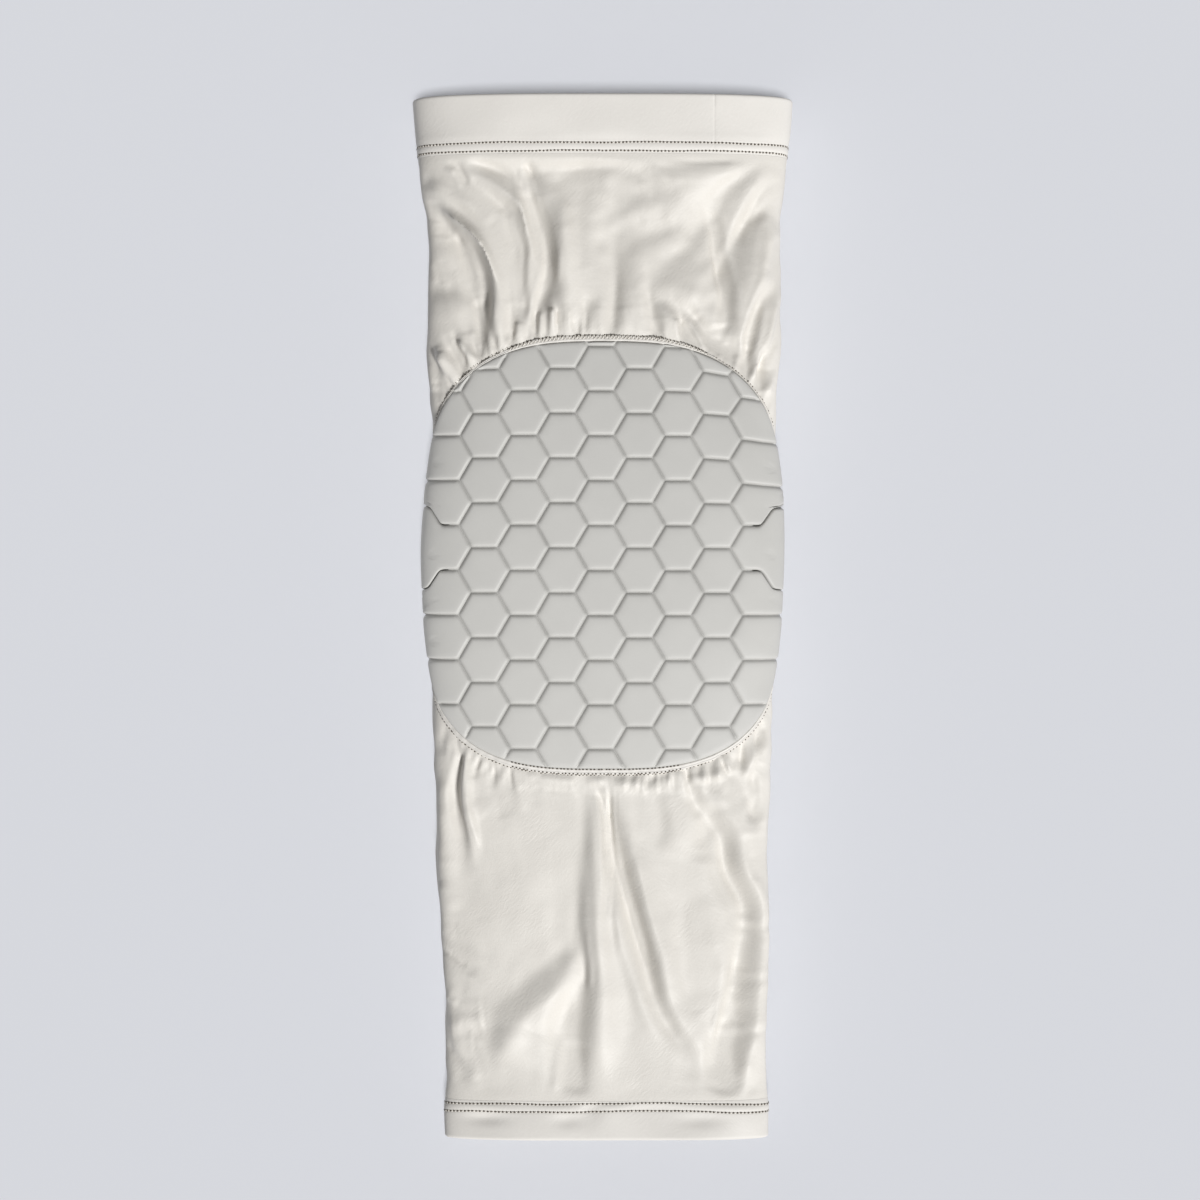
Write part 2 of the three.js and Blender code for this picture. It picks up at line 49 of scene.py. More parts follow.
# ------------------------------------------------------------------ driving sizes (mm)
HALF_LENGTH = 185.85
FABRIC_WALL = 1.2
BAND_WALL = 2.0
TOP_JOIN = 164.95        # where the wide hem meets the fabric
BOTTOM_JOIN = -171.6     # where the narrow hem meets the fabric
CROWN_POWER = 3.0
FOOT_INSET = 13.0
PAD_CENTRE_Y = 23.1
PAD_HALF_WIDTH = 67.0
PAD_HALF_LENGTH = 75.8
PAD_POWER = 2.85
PAD_LOWER_LENGTH = 75.5  # the lower half is a little shorter and squarer
PAD_LOWER_POWER = 3.1
PAD_TOP = 4.0
PAD_RIM = 1.3            # at the upper and lower edges
PAD_SIDE_RIM = 2.5       # at the two sides
CELL_FLAT = 15.83
CELL_PITCH = 13.49
CELL_ROW_Y = 25.7
CELL_COLUMNS = 3
CAMERA_HEIGHT = 936.0
CAMERA_X = -0.9
CAMERA_Y = 7.45
CAMERA_FOCAL = 2550.0 / 1200.0   # focal length over frame width
CHART_SCALE = 0.354              # mm in the fold table for one pixel of a 1200 frame

# Cross-sections of the tube: y, half width, centre x, crown height, level of the widest line.
SECTIONS = np.array([
    (-185.85, 58.4, 1.4, 25.0, 15.6),
    (-177.0, 58.4, 1.4, 25.2, 15.7),
    (-165.0, 57.8, 1.4, 25.4, 15.9),
    (-152.0, 57.5, 1.4, 25.9, 16.3),
    (-130.0, 58.1, 1.1, 27.0, 16.9),
    (-104.0, 58.8, 0.4, 28.3, 17.7),
    (-79.0, 59.4, -0.2, 29.8, 18.8),
    (-54.0, 60.3, 0.0, 31.2, 19.8),
    (-24.0, 60.9, 0.0, 32.8, 20.8),
    (-8.0, 61.2, 0.0, 33.5, 21.5),
    (24.0, 62.4, 0.0, 34.2, 22.2),
    (42.0, 61.8, 0.4, 34.4, 22.0),
    (60.0, 61.0, 0.5, 34.5, 21.9),
    (82.0, 62.2, 0.5, 34.5, 21.7),
    (100.0, 63.6, 0.5, 34.4, 21.6),
    (128.0, 62.8, 0.6, 34.0, 21.4),
    (143.0, 63.3, 0.4, 34.4, 21.3),
    (158.0, 65.3, 0.0, 36.4, 21.6),
    (168.0, 66.4, 0.0, 37.8, 21.8),
    (185.85, 67.9, 0.0, 39.5, 22.0),
])

# Folds of the front: name, path across the front seen from above, spacing of the profile,
# and, for one or more stations along the path, the lift of the cloth at nine places across
# it, from its right to its left.
FOLDS = [
    ("upper_hem_valley", [(-53.2, 161.3), (-29.0, 158.9), (-4.3, 161.2), (16.7, 160.2)], 2.00, [[0.37, 0.52, 0.28, -0.05, -0.72, -0.54, -0.12, -0.01, -0.00], [0.01, -0.27, -0.64, -0.89, -1.37, -1.09, -0.39, -0.04, -0.00], [-0.33, -0.35, -0.65, -0.81, -1.39, -0.11, 0.13, 0.01, 0.00], [-0.03, -0.09, 0.16, -0.15, -0.25, 0.39, 0.12, 0.00, 0.00]]),
    ("upper_shoulder_diag", [(-49.9, 160.0), (-40.4, 156.0), (-33.8, 151.2), (-28.3, 145.4)], 1.38, [[0.07, 0.00, 0.30, 0.09, 0.19, 0.26, 0.33, -0.80, -1.33], [-0.30, -0.71, -0.16, 0.19, 1.46, 0.13, -0.53, -0.38, -0.20]]),
    ("upper_shoulder_nick", [(-50.9, 162.2), (-46.7, 154.6)], 0.93, [[0.26, 0.04, -0.08, -0.49, -0.14, 0.33, 0.13, 0.03, 0.02]]),
    ("upper_corner_dent", [(-56.1, 161.2), (-51.0, 158.9)], 1.13, [[0.14, -0.04, 0.01, 0.32, 0.22, -0.15, -0.35, -0.10, 0.01]]),
    ("upper_left_edge_top", [(-58.6, 157.8), (-61.9, 150.7)], 1.58, [[-0.00, -0.04, -0.57, -0.22, 0.15, 0.48, 0.65, 0.59, 0.61]]),
    ("upper_left_dent", [(-63.4, 114.9), (-50.8, 115.8)], 2.06, [[0.17, 0.20, 0.15, 0.02, -0.42, -0.85, -0.67, -0.29, -0.33]]),
    ("upper_left_soft", [(-59.1, 125.1), (-47.2, 128.9)], 3.34, [[-0.74, -1.38, -0.95, -0.91, -0.85, -0.42, -0.57, -0.58, -0.83]]),
    ("upper_s_valley", [(-59.5, 150.3), (-51.6, 139.4), (-44.6, 132.2), (-41.0, 123.0), (-40.2, 113.6), (-41.1, 105.8), (-40.4, 94.3)], 1.99, [[-0.15, -0.30, -1.15, -1.19, 0.36, 0.76, -0.20, -0.32, 0.26], [-0.55, -1.34, -1.95, -1.77, 0.17, 2.04, 1.03, 0.60, 0.64], [-0.92, -1.75, -1.47, -2.01, -1.78, 1.61, 1.71, 0.51, -0.43], [-0.02, -0.49, -0.65, -1.01, -0.09, 0.05, 0.77, 0.47, -0.42]]),
    ("upper_s_left_line", [(-51.9, 138.9), (-46.0, 119.0)], 1.07, [[0.00, 0.01, -0.39, -1.02, -0.81, -0.33, -0.34, -0.19, -0.01], [-0.46, -0.20, -0.17, -0.03, -0.16, -0.31, 0.27, 0.02, -0.48]]),
    ("upper_left_nick", [(-61.4, 135.8), (-54.4, 136.2)], 0.84, [[-0.01, 0.01, 0.05, 0.13, 0.23, 0.03, 0.17, 0.12, 0.18]]),
    ("upper_left_pucker_a", [(-52.3, 103.6), (-48.8, 94.7), (-45.2, 88.1)], 1.10, [[-0.37, -0.04, -0.15, -0.75, -0.26, 0.08, -0.13, -0.21, 0.14], [-0.56, -0.33, 0.00, -0.13, 0.66, 1.44, 0.54, -0.41, -0.38]]),
    ("upper_left_pucker_b", [(-57.6, 98.8), (-53.6, 86.8), (-50.2, 82.5)], 1.29, [[-0.00, -0.79, 0.06, 0.98, 0.37, 0.27, -0.26, 0.02, -0.57], [-0.83, -0.19, -0.18, 0.48, 0.66, 0.57, -0.22, -0.56, -0.48]]),
    ("upper_tall_ridge", [(-27.3, 160.8), (-26.5, 150.9), (-23.2, 142.0), (-21.0, 131.2), (-20.0, 125.6), (-21.6, 119.2), (-24.6, 108.4), (-24.3, 100.0)], 1.22, [[0.12, 0.27, -0.31, -0.32, -0.32, -0.55, -0.06, -0.14, 0.03], [0.08, 1.38, -0.10, -0.33, -0.24, -0.70, -0.16, 0.07, 0.35], [0.12, 0.05, 0.21, 0.20, -0.79, -0.42, -0.40, -0.05, 0.36], [0.35, -0.20, -0.28, 0.02, -0.34, -0.49, 0.09, -0.28, 0.27]]),
    ("upper_tall_left_line", [(-30.0, 152.4), (-28.8, 140.0), (-26.3, 131.6), (-26.8, 120.4), (-25.6, 106.2)], 1.27, [[-0.19, -0.19, -0.21, 0.18, 0.31, 0.76, -0.07, 0.00, -0.13], [-0.32, -0.29, -0.06, -0.38, 0.86, 0.31, -0.07, -0.24, 0.17], [0.78, -0.30, -0.43, -0.55, -0.29, 0.53, 0.07, 0.12, -0.42]]),
    ("upper_tall_valley", [(-20.4, 149.8), (-15.6, 133.6), (-16.0, 125.3), (-15.5, 117.0), (-18.9, 108.7), (-19.6, 98.4)], 1.56, [[0.03, -0.42, -0.06, 0.23, 0.46, 1.20, 0.83, 0.85, 0.47], [0.12, -0.50, 0.04, 0.15, 1.45, 1.15, 1.22, 0.88, 0.35], [-0.21, -0.65, -0.26, 0.31, 0.17, 0.67, 0.36, 0.43, 0.25]]),
    ("upper_broad_ridge", [(-11.3, 146.1), (-11.1, 130.2), (-9.1, 117.8), (-11.2, 101.2)], 2.35, [[0.17, -0.16, 0.54, 1.71, 0.93, -0.02, 0.33, 0.42, 0.51], [-0.09, -0.36, 1.19, 1.25, 1.25, 1.02, 1.08, 0.77, 0.21], [-0.30, -0.10, 0.15, 0.28, 0.70, 0.17, -0.41, 0.31, 0.60]]),
    ("upper_centre_dark_top", [(-18.3, 159.5), (-13.2, 151.5), (-7.7, 144.2)], 2.64, [[-0.61, -0.18, 0.27, -0.13, -0.99, -0.49, -0.41, -0.35, -0.41], [-0.24, 0.24, 0.73, 0.83, -0.04, -0.28, -0.61, 0.22, -0.12]]),
    ("upper_pk_497", [(-40.8, 115.7), (-38.2, 93.5)], 1.19, [[-1.75, -0.82, -1.01, -0.88, -1.20, 0.37, 0.23, -0.30, 0.16], [-0.71, -0.63, -0.01, 0.34, 0.21, 0.34, 0.99, 1.31, 0.97]]),
    ("upper_pk_515", [(-28.9, 113.5), (-33.4, 98.3)], 1.09, [[0.29, 0.10, -0.08, -0.13, -0.35, -0.33, -0.40, -0.13, 0.26], [0.13, -0.12, -0.40, -0.41, -0.26, 0.09, 0.79, 0.84, 0.56]]),
    ("upper_pk_538", [(-22.1, 110.1), (-22.7, 100.2)], 0.80, [[0.30, -0.26, -0.45, -0.48, 0.89, 0.23, -0.04, -0.43, -0.16]]),
    ("upper_pk_580", [(-10.0, 113.2), (-9.1, 99.2)], 0.93, [[0.46, 0.06, -0.09, -0.06, 0.38, 0.10, -0.04, -0.17, -0.43], [0.16, 1.67, 1.35, 0.05, -0.27, -0.54, 0.71, 0.11, -0.31]]),
    ("upper_pk_592", [(-2.0, 115.5), (-4.9, 100.5)], 1.00, [[-0.19, -0.27, -0.29, -0.29, -0.24, -0.02, 0.18, 0.19, 0.07], [-0.30, 0.37, -0.13, 0.66, 0.45, 0.09, -0.27, -0.05, 0.19]]),
    ("upper_pk_606", [(1.5, 112.1), (1.4, 101.4)], 1.10, [[0.22, 0.24, 0.31, 0.01, 0.17, 0.08, 0.01, 0.08, 0.22]]),
    ("upper_centre_valley", [(8.5, 136.1), (7.0, 126.0), (6.3, 113.8), (5.0, 98.5)], 1.86, [[0.10, -0.52, -0.95, -0.37, -0.46, -0.37, 0.01, -0.08, -0.12], [0.04, 0.02, -0.34, -1.00, 0.22, 0.70, 0.90, 1.02, 0.87], [0.34, 0.42, -0.08, -0.60, -0.01, 0.56, 0.79, -0.13, 0.70]]),
    ("upper_pk_640", [(12.5, 113.1), (14.4, 99.7)], 1.38, [[0.42, 0.06, 0.26, 0.20, 0.04, 0.23, 0.40, -0.21, -0.12]]),
    ("upper_patch_662", [(19.3, 117.9), (21.1, 109.3), (25.3, 97.0)], 1.76, [[0.24, 0.35, -0.29, 0.37, -0.01, -0.31, 0.14, -0.04, 0.10], [-0.43, -1.09, -0.98, 0.07, 1.52, 1.66, -0.31, -0.68, -0.23]]),
    ("upper_pk_690", [(30.4, 110.7), (30.8, 96.2)], 1.57, [[0.57, 0.37, -0.76, 0.16, -0.42, -0.93, 0.37, 0.52, 0.44], [0.94, 1.60, 0.02, -0.33, -0.10, -0.07, -0.45, -0.31, -0.96]]),
    ("upper_pk_706", [(32.4, 109.2), (40.7, 95.0)], 1.08, [[-0.60, 0.86, -0.14, -0.65, -1.51, -0.75, -0.52, -0.20, -0.13]]),
    ("upper_stitch_shade", [(17.0, 162.7), (34.5, 161.5), (48.4, 162.1)], 1.36, [[0.32, 0.18, -0.06, -0.27, -0.00, 0.18, 0.02, 0.00, 0.00], [0.18, 0.13, 0.21, -0.02, -0.07, -0.57, -0.17, -0.01, -0.00], [0.16, 0.53, 0.39, 0.38, 0.13, -0.63, -0.14, -0.00, -0.00]]),
    ("upper_mid_streak_a", [(-4.9, 133.7), (5.3, 137.2), (12.2, 142.2)], 2.45, [[-0.25, -0.18, -0.03, -0.53, -0.45, 0.04, -0.01, 0.08, 0.60], [0.35, 0.18, -0.00, -0.14, -0.51, -0.33, -0.22, -0.59, -0.48]]),
    ("upper_mid_streak_b", [(2.2, 147.7), (10.3, 151.8), (17.1, 152.5)], 2.24, [[0.26, 0.58, -0.07, 0.13, -0.16, -0.32, 0.03, 0.40, 0.42], [0.36, 0.61, 0.35, -0.37, -0.36, -0.02, -0.35, -0.77, -0.11]]),
    ("upper_mid_streak_c", [(8.4, 130.5), (16.5, 135.2), (25.7, 139.6)], 2.25, [[0.50, 0.45, 0.50, 0.31, 0.25, -0.03, 0.21, 0.27, -0.07], [-0.31, -0.04, 0.08, 0.03, -0.54, -0.49, -0.43, -0.16, 0.38]]),
    ("upper_mid_knot", [(13.4, 157.9), (17.8, 153.0), (16.9, 148.5)], 1.35, [[-0.00, 0.12, 0.28, 0.25, -0.30, -0.27, -0.19, 0.11, 0.39], [-0.05, 0.07, 0.10, 0.07, -0.16, -0.13, -0.08, -0.10, -0.14]]),
    ("upper_mid_zone", [(15.0, 127.1), (23.5, 121.9), (36.6, 117.5)], 2.27, [[0.06, 0.30, 0.26, 0.10, 0.12, -0.03, -0.27, -0.07, -0.20], [-1.05, 0.04, 0.60, 0.88, 0.36, 0.25, 0.09, -0.18, -0.27]]),
    ("upper_mid_zone_b", [(15.7, 112.6), (26.1, 118.9), (37.5, 126.9)], 2.34, [[-0.10, 0.68, 0.48, -0.03, 0.12, 0.12, -0.36, -0.10, -0.13], [0.71, 0.16, 0.21, 0.57, 0.45, 0.29, 0.23, -0.27, -0.42]]),
    ("upper_cross_ridge", [(21.4, 137.7), (31.0, 144.7), (42.2, 152.2), (52.2, 161.3)], 3.33, [[0.18, -0.58, -0.04, 0.50, -0.04, 0.84, 0.19, 0.01, 0.69], [-0.71, -0.37, -0.70, -0.90, -0.52, 0.39, 0.86, 0.67, 0.25], [0.16, -0.43, 0.18, -0.01, -0.07, 0.52, 0.11, -0.01, -0.20]]),
    ("upper_cross_low", [(30.2, 132.8), (40.3, 141.0), (42.9, 145.0)], 2.22, [[-0.63, -0.43, -0.11, -0.04, -0.36, -0.61, -0.22, 0.36, 0.10], [-0.85, -0.28, -0.41, -0.24, -0.34, -0.95, -0.71, -0.23, 0.22]]),
    ("upper_corner_valley", [(58.7, 163.7), (52.7, 155.5), (45.4, 151.1), (42.5, 145.9)], 1.55, [[0.24, 0.04, -0.01, 0.06, 0.20, 0.10, 0.14, 0.20, 0.42], [-0.11, -0.60, -0.49, -0.26, 0.04, 0.18, 0.10, -0.14, -0.17]]),
    ("upper_corner_ridge", [(60.8, 159.8), (53.2, 153.0), (48.7, 144.8), (44.3, 133.4)], 1.68, [[0.39, 0.03, -0.17, 0.08, -0.04, -0.19, -0.26, 0.01, 0.25], [-0.13, 0.04, 0.47, 0.72, 0.89, -0.17, -1.01, -0.19, -0.40], [0.03, -0.32, -0.01, 0.46, 0.56, -0.27, 0.07, -0.18, -0.51]]),
    ("upper_sharp_crease", [(40.9, 147.1), (43.8, 138.9), (44.5, 131.8), (45.7, 124.2), (47.2, 114.3), (45.3, 101.3)], 1.30, [[-0.76, -0.50, -0.48, -0.00, 0.11, -0.20, -0.04, -0.22, -0.33], [-2.12, -1.44, -1.08, -0.65, 0.07, -0.10, -0.15, 0.02, -0.01], [-0.07, -0.42, -0.51, -0.51, -0.05, 0.51, 0.44, 0.26, 0.28]]),
    ("upper_right_shade", [(59.9, 145.0), (53.4, 139.5), (50.3, 132.3), (46.2, 125.6)], 2.00, [[0.33, -0.30, -0.35, -1.23, 0.37, 0.60, 0.68, 0.55, 0.86], [-0.45, 0.35, -0.95, -0.79, -0.36, 0.16, 0.58, 0.72, 0.51]]),
    ("upper_right_valley", [(51.8, 127.6), (47.3, 117.9), (45.6, 107.4)], 2.10, [[-1.27, -0.87, -0.47, 0.22, 0.54, 0.53, 0.71, 0.42, 0.78], [-0.08, -0.01, -0.21, -0.31, 0.54, 0.04, 0.34, 0.25, -0.07]]),
    ("upper_right_ridge", [(60.0, 141.4), (59.2, 131.3), (57.7, 121.1), (52.8, 113.9), (50.5, 98.2)], 1.84, [[-0.14, -0.20, -0.21, 1.11, 0.74, -0.07, -0.06, 0.01, -0.00], [0.27, 0.83, 0.91, 1.19, 1.14, 0.47, -0.17, 0.01, 0.71], [-1.01, -0.60, 0.45, 0.31, 0.03, 0.01, 0.18, 0.44, 0.73]]),
    ("upper_right_edge_fold", [(61.9, 131.3), (60.1, 119.2), (56.2, 107.5), (53.6, 95.0)], 1.29, [[0.07, 0.48, -0.08, -0.34, -0.39, -0.08, -0.03, -0.00, 0.00], [0.86, 0.32, -0.19, 0.12, 0.27, 0.49, 0.48, 0.96, 0.32], [0.17, -0.21, -0.21, -0.08, 0.04, 0.39, 0.79, 0.77, 0.13]]),
    ("upper_right_slit", [(56.0, 113.3), (53.4, 104.8), (52.4, 95.2)], 0.89, [[-0.02, -0.18, -0.06, -0.35, -0.07, -0.15, 0.25, 0.15, 0.02], [0.24, -0.24, -0.47, -0.41, -0.06, -0.10, 0.27, 0.32, 0.54]]),
    ("upper_right_pucker", [(58.5, 99.2), (54.7, 86.7)], 0.93, [[0.22, 0.02, 0.06, 0.38, 0.05, -0.03, -0.08, 0.11, 0.38], [-0.34, -0.38, -0.02, 0.05, -1.34, -0.23, -0.12, -0.04, 0.08]]),
    ("upper_tall_crest_top", [(-28.6, 162.3), (-25.3, 156.8), (-24.9, 149.6)], 0.95, [[-0.31, 0.16, 0.28, 0.17, -0.32, -1.69, -0.76, -0.38, 0.19], [0.21, 0.23, 0.25, 0.16, 0.18, 0.04, -0.13, -0.20, -0.28]]),
    ("upper_right_edge_b", [(60.7, 113.7), (59.0, 103.1), (56.5, 92.4)], 0.91, [[0.35, 0.06, 0.12, 0.13, 0.81, 0.33, 0.05, 0.12, 0.07], [0.40, 0.30, 0.29, 0.74, 1.04, 0.19, -0.21, 0.05, 0.12]]),
    ("upper_left_edge_mid", [(-60.2, 149.4), (-60.3, 140.6)], 0.92, [[-0.00, -0.04, -0.35, -0.61, -0.49, -0.46, -0.36, -0.25, -0.16]]),
    ("upper_left_edge_low", [(-60.4, 128.1), (-59.2, 118.9)], 0.93, [[-0.00, -0.01, -0.01, 0.29, 0.25, -0.17, -0.19, -0.21, -0.18]]),
    ("upper_shoulder_low", [(-55.3, 152.2), (-46.2, 147.8), (-38.5, 140.2)], 1.74, [[0.33, -0.47, -0.13, 0.94, 0.71, 0.32, 0.02, 0.14, -0.03], [0.61, 0.02, -0.10, 0.10, 0.46, 0.29, 0.12, -0.35, -0.68]]),
    ("upper_mid_low", [(13.2, 147.9), (23.6, 147.1), (31.4, 149.2)], 1.93, [[0.38, 0.36, 0.24, 0.23, 0.31, 0.12, -0.35, -0.56, -0.17], [-0.26, 0.07, 0.26, 0.19, 0.18, 0.20, 0.29, 0.22, 0.44]]),
    ("upper_pk_468", [(-46.3, 103.7), (-43.4, 95.9)], 0.91, [[0.43, 0.20, 0.21, 0.21, 0.22, 0.12, -0.30, -0.09, 0.04]]),
    ("upper_pk_560", [(-15.1, 111.1), (-15.0, 99.5)], 0.80, [[1.26, 2.61, -0.35, -0.76, 0.16, -0.49, 0.29, -0.15, 0.74]]),
    ("upper_pk_655", [(18.4, 108.6), (18.6, 100.3)], 0.97, [[0.21, 0.02, 0.13, 0.10, 0.27, 0.16, 0.23, 0.31, 0.51]]),
    ("upper_pk_676", [(25.8, 107.7), (25.2, 98.2)], 0.80, [[0.15, 0.33, 0.46, 0.24, 0.72, 1.30, -0.66, -0.28, -0.08]]),
    ("upper_pk_722", [(42.8, 106.0), (44.3, 93.7)], 1.25, [[-0.37, -0.75, -0.64, -0.99, -0.71, -0.46, -0.01, -0.12, 0.08]]),
    ("upper_pk_740", [(50.2, 104.3), (45.4, 90.1)], 1.14, [[-0.02, 0.02, 0.09, 0.25, 0.33, -0.27, -0.01, -0.21, -0.13], [0.61, -0.45, -0.18, -0.96, -0.90, -0.16, 0.01, -0.51, -0.96]]),
    ("upper_s_crest", [(-55.8, 145.2), (-45.7, 136.7), (-40.8, 129.6), (-36.9, 118.2)], 0.80, [[-0.04, -0.06, 0.11, 0.60, 0.99, -0.00, -0.15, -0.07, -0.32], [-0.19, -0.21, 0.13, -0.33, 2.94, 0.77, 0.23, -0.09, -0.02], [-0.20, -0.26, -0.01, -0.40, 0.84, 0.17, -0.24, -0.23, -0.17]]),
    ("upper_tall_crest_line", [(-27.0, 161.2), (-27.0, 152.4), (-25.5, 144.1), (-23.9, 135.5)], 0.81, [[-0.22, -0.10, -0.31, -0.32, -0.58, -0.63, -0.32, 0.03, 0.14], [0.04, 0.90, -0.01, -0.39, 0.05, 0.02, -0.24, -0.22, 0.13]]),
    ("upper_pk_l1", [(-59.8, 92.5), (-55.8, 82.1)], 1.01, [[0.79, 0.97, 0.33, 0.05, -0.26, -0.20, 0.52, 1.43, 0.81]]),
    ("upper_pk_l2", [(-55.3, 97.3), (-47.6, 86.2)], 1.12, [[1.58, 0.86, 1.38, 0.05, -0.35, -0.11, 0.17, 0.00, 1.70]]),
    ("upper_pk_l3", [(-50.3, 97.3), (-46.6, 92.3)], 0.85, [[-0.00, -0.09, -0.18, -0.13, 0.21, -0.11, 0.01, -0.10, -0.12]]),
    ("upper_pk_l4", [(-43.0, 101.9), (-41.2, 94.8)], 0.89, [[-0.28, 0.15, 0.38, -0.18, 0.21, -0.06, 0.30, -0.48, -0.44]]),
    ("upper_right_crest", [(54.4, 113.4), (51.9, 103.1), (49.8, 95.2)], 0.95, [[0.05, -0.12, 0.16, -0.09, -0.16, -0.27, -0.14, 0.21, 0.04], [0.19, 0.21, 0.11, -0.33, -0.23, -0.38, -0.06, 0.11, 0.40]]),
    ("upper_corner_line", [(52.8, 157.6), (48.2, 148.9), (44.5, 139.2)], 0.95, [[-0.00, -0.01, 0.05, 0.13, 0.16, 0.14, 0.22, 0.34, 0.12], [0.23, 0.27, 0.22, 0.10, 0.17, 0.17, 0.31, 0.11, 0.28]]),
    ("upper_pk_726u", [(44.0, 101.4), (43.5, 93.2)], 1.06, [[-0.35, -0.41, -0.49, -0.22, -0.35, -0.15, -0.54, -0.27, -0.31]]),
    ("upper_pk_735u", [(46.1, 99.5), (47.2, 92.5)], 1.08, [[-0.88, -0.64, -0.76, -0.47, -0.24, -0.24, -0.28, 0.33, 0.03]]),
    ("upper_pk_752u", [(53.9, 97.8), (52.0, 85.1)], 0.98, [[-0.57, -0.77, -1.36, -0.88, 0.40, 0.30, 1.04, -1.15, -0.54]]),
    ("upper_pk_766u", [(58.6, 90.4), (55.4, 80.7)], 0.88, [[0.47, -0.81, -1.73, -0.75, -0.49, -0.14, -0.24, -0.18, -0.08], [0.09, -0.21, -0.61, -1.02, -0.73, 0.35, 1.41, 2.60, 0.68]]),
    ("upper_pk_485u", [(-41.8, 102.3), (-40.9, 93.3)], 0.93, [[-0.43, -0.06, -0.28, 0.23, -0.26, 0.23, 0.48, 0.14, -0.61]]),
    ("upper_pk_467u", [(-48.1, 97.1), (-48.7, 89.5)], 0.88, [[-0.08, 0.10, -0.01, -0.17, -0.45, 0.06, 0.08, 0.64, 0.12]]),
    ("upper_pk_459u", [(-50.5, 93.9), (-49.0, 87.4)], 1.08, [[0.12, 0.46, 0.28, -0.29, 0.33, -0.03, 0.10, 0.29, 1.25]]),
    ("upper_pk_452u", [(-53.8, 88.2), (-51.4, 81.3)], 0.98, [[0.26, 0.03, -0.95, -0.54, 0.44, -0.10, 0.25, -0.59, -1.07]]),
    ("upper_pk_445u", [(-56.2, 86.4), (-54.6, 79.9)], 0.88, [[-0.56, -0.74, -0.12, -0.32, -0.25, -0.03, -1.23, -0.81, 0.80]]),
    ("upper_pk_476u", [(-44.4, 99.9), (-44.8, 92.3)], 0.85, [[-0.17, 0.13, 0.05, -0.16, -0.18, 0.21, 0.00, 0.49, 0.17]]),
    ("upper_pk_506u", [(-33.2, 103.6), (-34.4, 96.9)], 0.83, [[-0.05, -0.02, 0.21, -0.46, -0.19, 0.12, -0.72, 0.01, -0.16]]),
    ("upper_pk_524u", [(-27.5, 106.0), (-28.3, 99.5)], 0.81, [[0.13, 0.73, 0.35, 0.27, -0.07, 0.09, -0.39, 0.06, 0.34]]),
    ("upper_pk_565u", [(-13.2, 107.2), (-13.6, 101.7)], 0.80, [[-0.33, 0.17, -0.07, 0.36, 0.36, -0.02, 0.13, -0.53, -0.35]]),
    ("lower_left_slit", [(-49.1, -43.3), (-50.8, -54.6), (-50.9, -65.2), (-47.1, -82.0)], 0.95, [[-0.34, 0.15, 0.15, -0.31, -1.20, 0.07, 0.94, 0.11, 0.08], [0.38, -0.09, -1.04, -0.68, -0.60, -0.02, 1.47, 0.75, 1.33], [-0.02, -0.11, -0.18, -0.36, -0.36, -0.17, -0.01, -0.16, 1.03]]),
    ("lower_left_ridge", [(-53.0, -49.5), (-52.9, -63.6), (-52.0, -75.7), (-51.6, -87.7)], 1.63, [[-0.34, -0.23, -0.17, -0.04, -0.04, -0.25, 0.23, 0.76, -0.14], [-0.16, 0.99, 1.30, 0.40, -0.57, -0.22, -0.12, 0.90, 0.59], [0.26, 1.05, 0.63, 0.44, 0.21, -0.30, -0.45, -0.00, 0.43]]),
    ("lower_slit_478", [(-44.6, -46.1), (-43.1, -55.9)], 0.80, [[-0.42, -0.37, -0.38, 0.10, 0.15, 0.04, 0.04, 0.08, -0.07]]),
    ("lower_slit_495", [(-38.5, -49.7), (-37.4, -59.7)], 0.85, [[0.01, -0.16, -0.28, -0.16, -0.06, 0.17, 0.05, 0.01, -0.03]]),
    ("lower_slit_513", [(-31.9, -51.8), (-30.8, -60.2)], 0.91, [[0.06, -0.07, -0.02, -0.39, 0.18, 0.04, 0.26, 0.10, 0.30]]),
    ("lower_dent_446", [(-55.6, -40.4), (-55.7, -47.6)], 1.01, [[-0.14, -0.46, -0.36, -0.45, -0.12, 0.04, -0.25, -0.19, -0.61]]),
    ("lower_dent_480", [(-45.0, -62.2), (-39.4, -68.6)], 1.63, [[0.18, 0.06, 0.22, 0.30, 0.18, 0.07, -0.08, -0.24, -0.27]]),
    ("lower_dent_515", [(-32.1, -60.6), (-29.1, -68.7)], 1.65, [[-0.36, -0.20, -0.20, -0.14, 0.03, 0.23, 0.10, -0.04, -0.16]]),
    ("lower_left_lower_soft", [(-52.9, -90.4), (-50.6, -100.7), (-48.3, -109.8)], 2.11, [[0.09, 0.56, 0.90, 0.12, 0.02, 0.05, -0.01, -0.10, -0.07], [0.43, 0.90, 0.28, 0.16, 0.05, -0.03, -0.13, -0.10, -0.11]]),
    ("lower_shin_valley", [(-5.7, -60.6), (-5.3, -79.3), (-5.5, -97.0), (-5.3, -112.9), (-4.2, -125.2), (-4.7, -137.7), (-5.5, -151.8), (-3.9, -168.4)], 2.89, [[-0.22, -0.07, 0.03, 0.15, -0.10, 0.21, -0.12, -0.42, 0.17], [-0.41, -0.26, -0.14, -0.45, 0.74, 1.54, 0.93, -0.14, 0.08], [-0.07, -0.38, -0.47, -0.93, 0.95, 2.24, 2.15, 0.98, 0.51], [-0.38, -1.35, -2.00, -1.35, 0.18, 0.93, 1.04, 0.57, -0.08]]),
